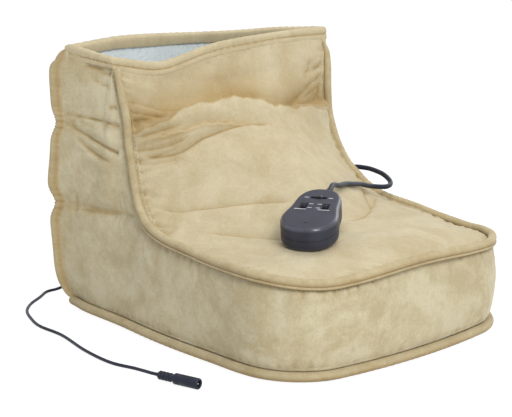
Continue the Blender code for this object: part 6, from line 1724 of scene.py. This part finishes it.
    def build_marks(self) -> None:
        """Printed position marks: rounded dashes and bars, a hair proud of the shell."""
        dash, bar, line = 0.0044, 0.0110, 0.0009
        rows = [(-0.0112, 0.0270, dash), (0.0112, 0.0270, dash), (0.0, 0.0312, dash),
                (-0.0039, 0.0126, dash), (0.0039, 0.0126, dash), (-0.0039, 0.0042, dash),
                (0.0039, 0.0042, dash), (-0.0116, 0.0004, bar), (0.0098, 0.0004, bar)]
        sides = 24
        angle = np.linspace(0, 2 * math.pi, sides, endpoint=False)
        turn = np.stack([np.cos(angle), np.sin(angle)], axis=-1)
        points, faces = [], []
        for i, (x, y, long) in enumerate(rows):
            half = np.array([(long - line) / 2, 0.0])
            outline = turn * line / 2 + np.sign(turn[:, :1]) * half + (x, y - self.set_back)
            for z in (self.thickness - 0.00005, self.thickness + 0.00006):
                points.append(np.concatenate([outline, np.full((sides, 1), z)], axis=-1))
            low, high = 2 * sides * i, 2 * sides * i + sides
            faces += [list(range(high - 1, low - 1, -1)), list(range(high, high + sides))]
            pairs = [(k, (k + 1) % sides) for k in range(sides)]
            faces += [[low + k, low + after, high + after, high + k] for k, after in pairs]
        marks = new_object("handset_marks", np.concatenate(points), faces)
        self.finish(marks, PRINT, "handset", "handset")

    def build_relief(self) -> None:
        """Ribbed strain relief: a cone whose radius dips between its ribs."""
        end = self.length / 2
        start = end - self.wall - 0.0012 - 2 * GAP
        profile = [(0.0044, start), (0.0044, start + 0.0012), (0.0033, start + 0.0012), (0.0033, end + GAP)]
        t = np.linspace(0, 1, 61)
        cone = 0.0044 + (0.0031 - 0.0044) * t
        groove = 0.0006 * np.clip(np.sin(2 * math.pi * 5 * t - math.pi / 2), 0, 1) ** 0.5
        profile += list(zip((cone - groove).tolist(), (end + GAP + self.relief_length * t).tolist()))
        turn = Matrix.Translation((0.0, 0.0, self.split)) @ Matrix.Rotation(-math.pi / 2, 4, "X")
        item = turned("handset_boot", profile, turn, 32)
        self.finish(item, RUBBER, "cable", "handset", "handset_strain_relief")


# Leads


class End(Enum):
    """What a lead ends in."""

    CONNECTOR = "connector"
    OBJECT = "object"


SUPPLY_ROUTE = (
    (-0.1215, 0.1900, 0.0180), (-0.1245, 0.2020, 0.0085), (-0.1315, 0.2100, 0.0030),
    (-0.1440, 0.2115, 0.0019), (-0.1594, 0.2004, 0.0018), (-0.1790, 0.1870, 0.0018),
    (-0.1943, 0.1697, 0.0018), (-0.2040, 0.1470, 0.0018), (-0.2101, 0.1221, 0.0018),
    (-0.2092, 0.0863, 0.0018), (-0.2171, 0.0374, 0.0018), (-0.2186, -0.0035, 0.0019),
    (-0.2130, -0.0330, 0.0030))
CONTROL_ROUTE = (
    (0.0245, -0.0318, 0.1306), (0.0390, -0.0250, 0.1268), (0.0593, -0.0132, 0.1232),
    (0.0750, -0.0070, 0.1196), (0.0945, 0.0010, 0.1150), (0.1130, 0.0060, 0.1095),
    (0.1260, 0.0040, 0.1070), (0.1345, 0.0030, 0.1063), (0.1415, 0.0055, 0.1070),
    (0.1462, 0.0110, 0.1095), (0.1478, 0.0210, 0.1135), (0.1490, 0.0330, 0.1152),
    (0.1500, 0.0490, 0.1157), (0.1448, 0.0650, 0.1140), (0.1446, 0.0730, 0.0990),
    (0.1480, 0.0800, 0.0800), (0.1490, 0.0860, 0.0600), (0.1495, 0.0900, 0.0400),
    (0.1515, 0.0930, 0.0220), (0.1575, 0.0920, 0.0090))
TAIL_ROUTE = ((0.1860, 0.1030, 0.0104), (0.1780, 0.1070, 0.0140), (0.1705, 0.1115, 0.0185))


@dataclass
class Leads:
    """Supply lead with its socket, and the handset lead with its coil."""

    supply_diameter: float = 0.0030
    control_diameter: float = 0.0050
    jack_tail: Vector = field(default_factory=lambda: Vector((-0.2104, -0.0620, 0.0049)))
    jack_tip: Vector = field(default_factory=lambda: Vector((-0.1981, -0.1035, 0.0049)))
    jack_sleeve: float = 0.018
    jack_length: float = 0.025
    coil_centre: tuple[float, float, float] = (0.197, 0.070, 0.0)
    coil_radius: float = 0.0325
    coil_pitch: float = 0.0056
    coil_turns: float = 2.75
    floor_gap: float = 0.0004
    tie_thickness: float = 0.0012
    tie_width: float = 0.006
    tie_turn: float = 36.0
    step: float = 0.0030

    def curve(self, name: str, points: Points, diameter: float) -> bpy.types.Object:
        """Round lead along smooth points, as a bevelled curve."""
        data = bpy.data.curves.new(name, "CURVE")
        data.dimensions = "3D"
        data.bevel_depth, data.bevel_resolution, data.use_fill_caps = diameter / 2, 4, True
        line = data.splines.new("POLY")
        line.points.add(len(points) - 1)
        line.points.foreach_set("co", np.concatenate([points, np.ones((len(points), 1))], axis=1).ravel())
        made = bpy.data.objects.new(name, data)
        bpy.context.scene.collection.objects.link(made)
        return dress(made, RUBBER)

    def tube(self, name: str, points: Points, diameter: float) -> bpy.types.Object:
        """Round lead along smooth points, as a closed mesh."""
        outward = np.broadcast_to(unit(np.array([-1.0, 1.0, 0.15])), points.shape)
        grid = pipe(points, outward, lambda *at: np.full(np.broadcast(*at).shape, diameter / 2), 20)
        return dress(skin(name, grid), RUBBER)

    def declare(self, item: bpy.types.Object, points: Points, node: str,
                path: Optional[list] = None) -> None:
        """Log a lead's length, hide the solid that it stands for, and tie it to the boot unless a path is
        given.
        """
        if path is None:
            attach(item, "boot")
        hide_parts(node)
        LOG.info("%s: %.4f m", item.name, run_length(points)[-1])

    def coil(self) -> Points:
        """Places of the coil: wound inwards below, then outwards on top, in a smooth spiral."""
        count = round(self.coil_turns * 24)
        turn = np.linspace(0, self.coil_turns, count + 1)
        half = self.coil_turns / 2
        climb = np.clip((turn - half) / 0.30 + 0.5, 0.0, 1.0)
        angle = math.pi + 2 * math.pi * turn
        radius = self.coil_radius - self.coil_pitch * (half - np.abs(turn - half))
        low = self.floor_gap + self.tie_thickness + GAP + self.control_diameter / 2
        level = low + self.coil_pitch * climb * climb * (3 - 2 * climb)
        points = np.stack([radius * np.cos(angle), radius * np.sin(angle), level], axis=-1)
        points = points + np.array(self.coil_centre)
        ends = unit((points[[0, -1]] - points[[1, -2]]) * np.array([1.0, 1.0, 0.0]))
        return np.concatenate([points[:1] + ends[:1] * self.control_diameter, points,
                               points[-1:] + ends[1:] * self.control_diameter])

    def build(self) -> None:
        """Make both leads with everything on them."""
        self.build_supply()
        self.build_control()

    def build_supply(self) -> None:
        """Thin lead from the back of the boot round to its socket."""
        low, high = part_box("supply_grommet")
        start = Vector(((low.x + high.x) / 2, high.y + GAP, (low.z + high.z) / 2))
        axis = (self.jack_tip - self.jack_tail).normalized()
        end = self.jack_tail - axis * GAP
        lead = self.supply_diameter
        first = start + Vector((0.0, lead, 0.0))
        route = spaced(np.array([first, *map(Vector, SUPPLY_ROUTE), end - axis * 2 * lead]), self.step)
        points = np.concatenate([[start], route, [end - axis * lead, end]])
        pieces = self.build_jack(axis)
        lead_item = self.curve("supply_cord", points, lead)
        self.declare(lead_item, points, "supply_lead")
        self.build_grommet("supply", Vector((start.x, low.y, start.z)), "Y", lead)

    def build_jack(self, axis: Vector) -> list[bpy.types.Object]:
        """Socket: ribbed boot, body with a stepped mouth, and pin."""
        place = Matrix.Translation(self.jack_tail) @ axis.to_track_quat("Z", "Y").to_matrix().to_4x4()
        t = np.linspace(0, 1, 61)
        cone = 0.0020 + 0.0019 * smooth(t, 0.0, 0.16) - 0.0008 * smooth(t, 0.80, 0.92)
        cone = cone - 0.0006 * np.clip(np.sin(10 * math.pi * t), 0, 1) ** 0.6 * (t < 0.82)
        boot = turned("socket_boot", list(zip(cone.tolist(), (self.jack_sleeve * t).tolist())), place, 32)
        low, high = self.jack_sleeve + GAP, self.jack_sleeve + GAP + self.jack_length
        body = turned("socket_body", (
            (0.0043, low), (0.0047, low + 0.0003), (0.0049, low + 0.0008), (0.0049, low + 0.006),
            (0.00475, low + 0.0063), (0.00475, low + 0.0070), (0.0049, low + 0.0073),
            (0.0049, high - 0.0009), (0.0047, high - 0.0003), (0.0043, high), (0.0034, high),
            (0.0030, high - 0.0005), (0.0030, high - 0.011)), place, 48)
        pin = turned("socket_pin", ((0.0010, high - 0.0107), (0.0010, high - 0.0022), (0.0009, high - 0.0016),
                                    (0.0005, high - 0.0010)), place, 24)
        for item, finish, slot, node in ((boot, RUBBER, "cable", "jack_boot"),
                                         (body, RUBBER, "cable", "jack_body"),
                                         (pin, PIN, "pin", "jack_pin")):
            fit(item, finish, slot, node)
        return [boot, body, pin]

    def build_grommet(self, name: str, place: Vector, axis: str, lead: float) -> None:
        """Flanged bush with a tapered, ribbed nose that the lead leaves."""
        nose = lead / 2 + 0.0012
        depth, thick, long = 0.0060, 0.0016, 0.010
        t = np.linspace(0, 1, 31)
        cone = 0.0035 + (nose - 0.0035) * t - 0.0003 * np.clip(np.sin(8 * math.pi * t), 0, 1) ** 0.6
        profile = [(0.0035, 0.0), (0.0035, depth), (0.0060, depth), (0.0060, depth + thick * 0.6),
                   (0.0056, depth + thick * 0.95), (0.0048, depth + thick * 1.1)]
        profile += list(zip(cone.tolist(), (depth + thick * 1.2 + (long - thick * 0.2) * t).tolist()))
        turn = Matrix.Rotation(math.pi / 2, 4, "Y") if axis == "X" else Matrix.Rotation(-math.pi / 2, 4, "X")
        item = turned(name + "_bush", profile, Matrix.Translation(place) @ turn, 36)
        fit(item, RUBBER, "cable", name + "_grommet")

    def build_control(self) -> None:
        """Handset lead in three runs: to the coil, the coil, and on to its bush."""
        handset, lead = Handset(), self.control_diameter
        frame, tip = handset.place(), handset.length / 2 + 2 * GAP + handset.relief_length
        start, straight = (frame @ Vector((0.0, tip + d, handset.split)) for d in (0.0, lead))
        coil = self.coil()
        into = unit(coil[1] - coil[0])
        end = coil[0] - into * GAP
        middle = spaced(np.array([straight, *map(Vector, CONTROL_ROUTE), end - into * lead]), self.step)
        first = np.concatenate([[start], middle, [end]])
        item = self.tube("handset_cord", first, lead)
        self.declare(item, first, "control_lead", path=first.tolist())
        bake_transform(item)
        item = self.curve("handset_cord_coil", coil, lead)
        tie = self.build_tie()
        self.declare(item, coil, "control_lead_coil")
        out = unit(coil[-1] - coil[-2])
        low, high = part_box("control_grommet")
        finish = np.array([high.x + GAP, (low.y + high.y) / 2, (low.z + high.z) / 2])
        begin = coil[-1] + out * GAP
        route = spaced(np.array([begin + out * lead, *TAIL_ROUTE, finish + (lead, 0.0, 0.0)]), self.step)
        tail = np.concatenate([[begin], route, [finish]])
        item = self.curve("handset_cord_tail", tail, lead)
        self.declare(item, tail, "control_lead_tail")
        self.build_grommet("control", Vector((low.x, finish[1], finish[2])), "X", lead)

    def build_tie(self) -> bpy.types.Object:
        """Twist tie round the turns: a flat band with rounded edges carried round a squared ring."""
        low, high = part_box("coil_tie")
        middle = np.array((low + high) / 2)
        angle = math.radians(self.tie_turn)
        way = np.array([math.cos(angle), math.sin(angle), 0.0])
        wide = np.array([-math.sin(angle), math.cos(angle), 0.0])
        half_high = (high.z - low.z) / 2
        reach = ((high.x - low.x) - self.tie_width * math.sin(angle)) / (2 * math.cos(angle))
        t = np.linspace(0, 2 * math.pi, 96, endpoint=False)
        cos, sin = squared(np.cos(t), 0.22), squared(np.sin(t), 0.22)
        section = np.linspace(0, 2 * math.pi, 16, endpoint=False)
        thick = self.tie_thickness / 2 * (1 - np.cos(section))
        side = self.tie_width / 2 * squared(np.sin(section), 0.4)
        across = (reach - thick[None]) * cos[:, None]
        up = (half_high - thick[None]) * sin[:, None]
        grid = (middle + across[..., None] * way + up[..., None] * np.array([0.0, 0.0, 1.0])
                + np.broadcast_to(side[None], across.shape)[..., None] * wide)
        return fit(skin("coil_band", grid, True), HOUSING, "cable", "coil_tie")


# Inner parts and studio


def dress_inner_parts(nodes: dict[str, bpy.types.Object]) -> None:
    """Give the CAD solids that stay inside the boot and handset their finishes."""
    kinds = ((("module_cup", "module_lid", "junction", "thermal", "mode_switch", "heat_switch",
               "massage_switch"), HOUSING), (("motor_left", "motor_right"), STEEL),
             (("weight",), BRASS), (("handset_board",), BOARD), (("handset_screw",), SCREW),
             (("motor_wire", "heater_wire", "supply_wire", "control_wire"), RUBBER))
    for starts, finish in kinds:
        for name, item in nodes.items():
            if name.startswith(starts):
                dress(item, finish)


@dataclass
class Studio:
    """Floor, lamps, world and camera."""

    eye: tuple[float, float, float] = (-0.9402, -1.0326, 0.4530)
    target: tuple[float, float, float] = (-0.0451, 0.0, 0.1129)
    lens: float = 105.3

    def build(self) -> None:
        """Make the studio."""
        scene = bpy.context.scene
        scene.view_settings.view_transform = "Standard"
        world = bpy.data.worlds.new("studio")
        scene.world = world
        n = Nodes(world, "Background")
        n.set(Color=(0.93, 0.96, 1.0), Strength=0.52)
        n.show(n.white_to_camera(), n.node("Background", Color=WHITE), "World Output")
        self.build_floor()
        self.lamp("key", (-0.50, -1.45, 1.35), 0.8, 21.0, (1.0, 0.985, 0.96))
        self.lamp("top", (0.25, 0.10, 1.8), 0.8, 10.0, (1.0, 0.99, 0.97))
        self.lamp("rim", (1.5, 0.3, 0.9), 0.9, 4.0, (1.0, 0.985, 0.96))
        data = bpy.data.cameras.new("camera")
        data.lens, data.sensor_width = self.lens, 36.0
        camera = bpy.data.objects.new("camera", data)
        scene.collection.objects.link(camera)
        camera.location = self.eye
        way = Vector(self.target) - Vector(self.eye)
        camera.rotation_euler = way.to_track_quat("-Z", "Y").to_euler()
        scene.camera = camera

    def build_floor(self) -> None:
        """Large white floor that shows white to the camera and keeps a faint shadow."""
        corners = np.array([(-6, -6, 0), (6, -6, 0), (6, 6, 0), (-6, 6, 0)], float)
        floor = new_object("floor", corners, [[0, 1, 2, 3]])
        floor.data.transform(Matrix.Translation((0.0, 0.0, -0.0004)))
        n = Nodes(bpy.data.materials.new("floor_white"))
        material = n.set(Base_Color=(0.86, 0.86, 0.86), Roughness=0.9)
        share = n.math("MULTIPLY", n.white_to_camera(), 0.80)
        n.show(share, n.node("Emission", Color=WHITE, Strength=1.15), "Material Output")
        floor.data.materials.append(material)

    def lamp(self, name: str, place: tuple[float, float, float], size: float, power: float,
             colour: tuple[float, float, float]) -> None:
        """Square soft lamp that looks at the middle of the boot."""
        data = bpy.data.lights.new(name, "AREA")
        data.size, data.energy, data.color = size, power, colour
        item = bpy.data.objects.new(name, data)
        bpy.context.scene.collection.objects.link(item)
        item.location = place
        item.rotation_euler = (Vector((0.0, 0.0, 0.1)) - Vector(place)).to_track_quat("-Z", "Y").to_euler()


def main() -> None:
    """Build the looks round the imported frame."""
    logging.basicConfig(level=logging.INFO, format="%(name)s %(message)s")
    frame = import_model()
    Studio().build()
    Leads().build()
    covers = Covers()
    Filling().build()
    covers.build()
    Trim().build(covers)
    Handset().build()
    dress_inner_parts(frame["nodes"])


if __name__ == "__main__":
    main()
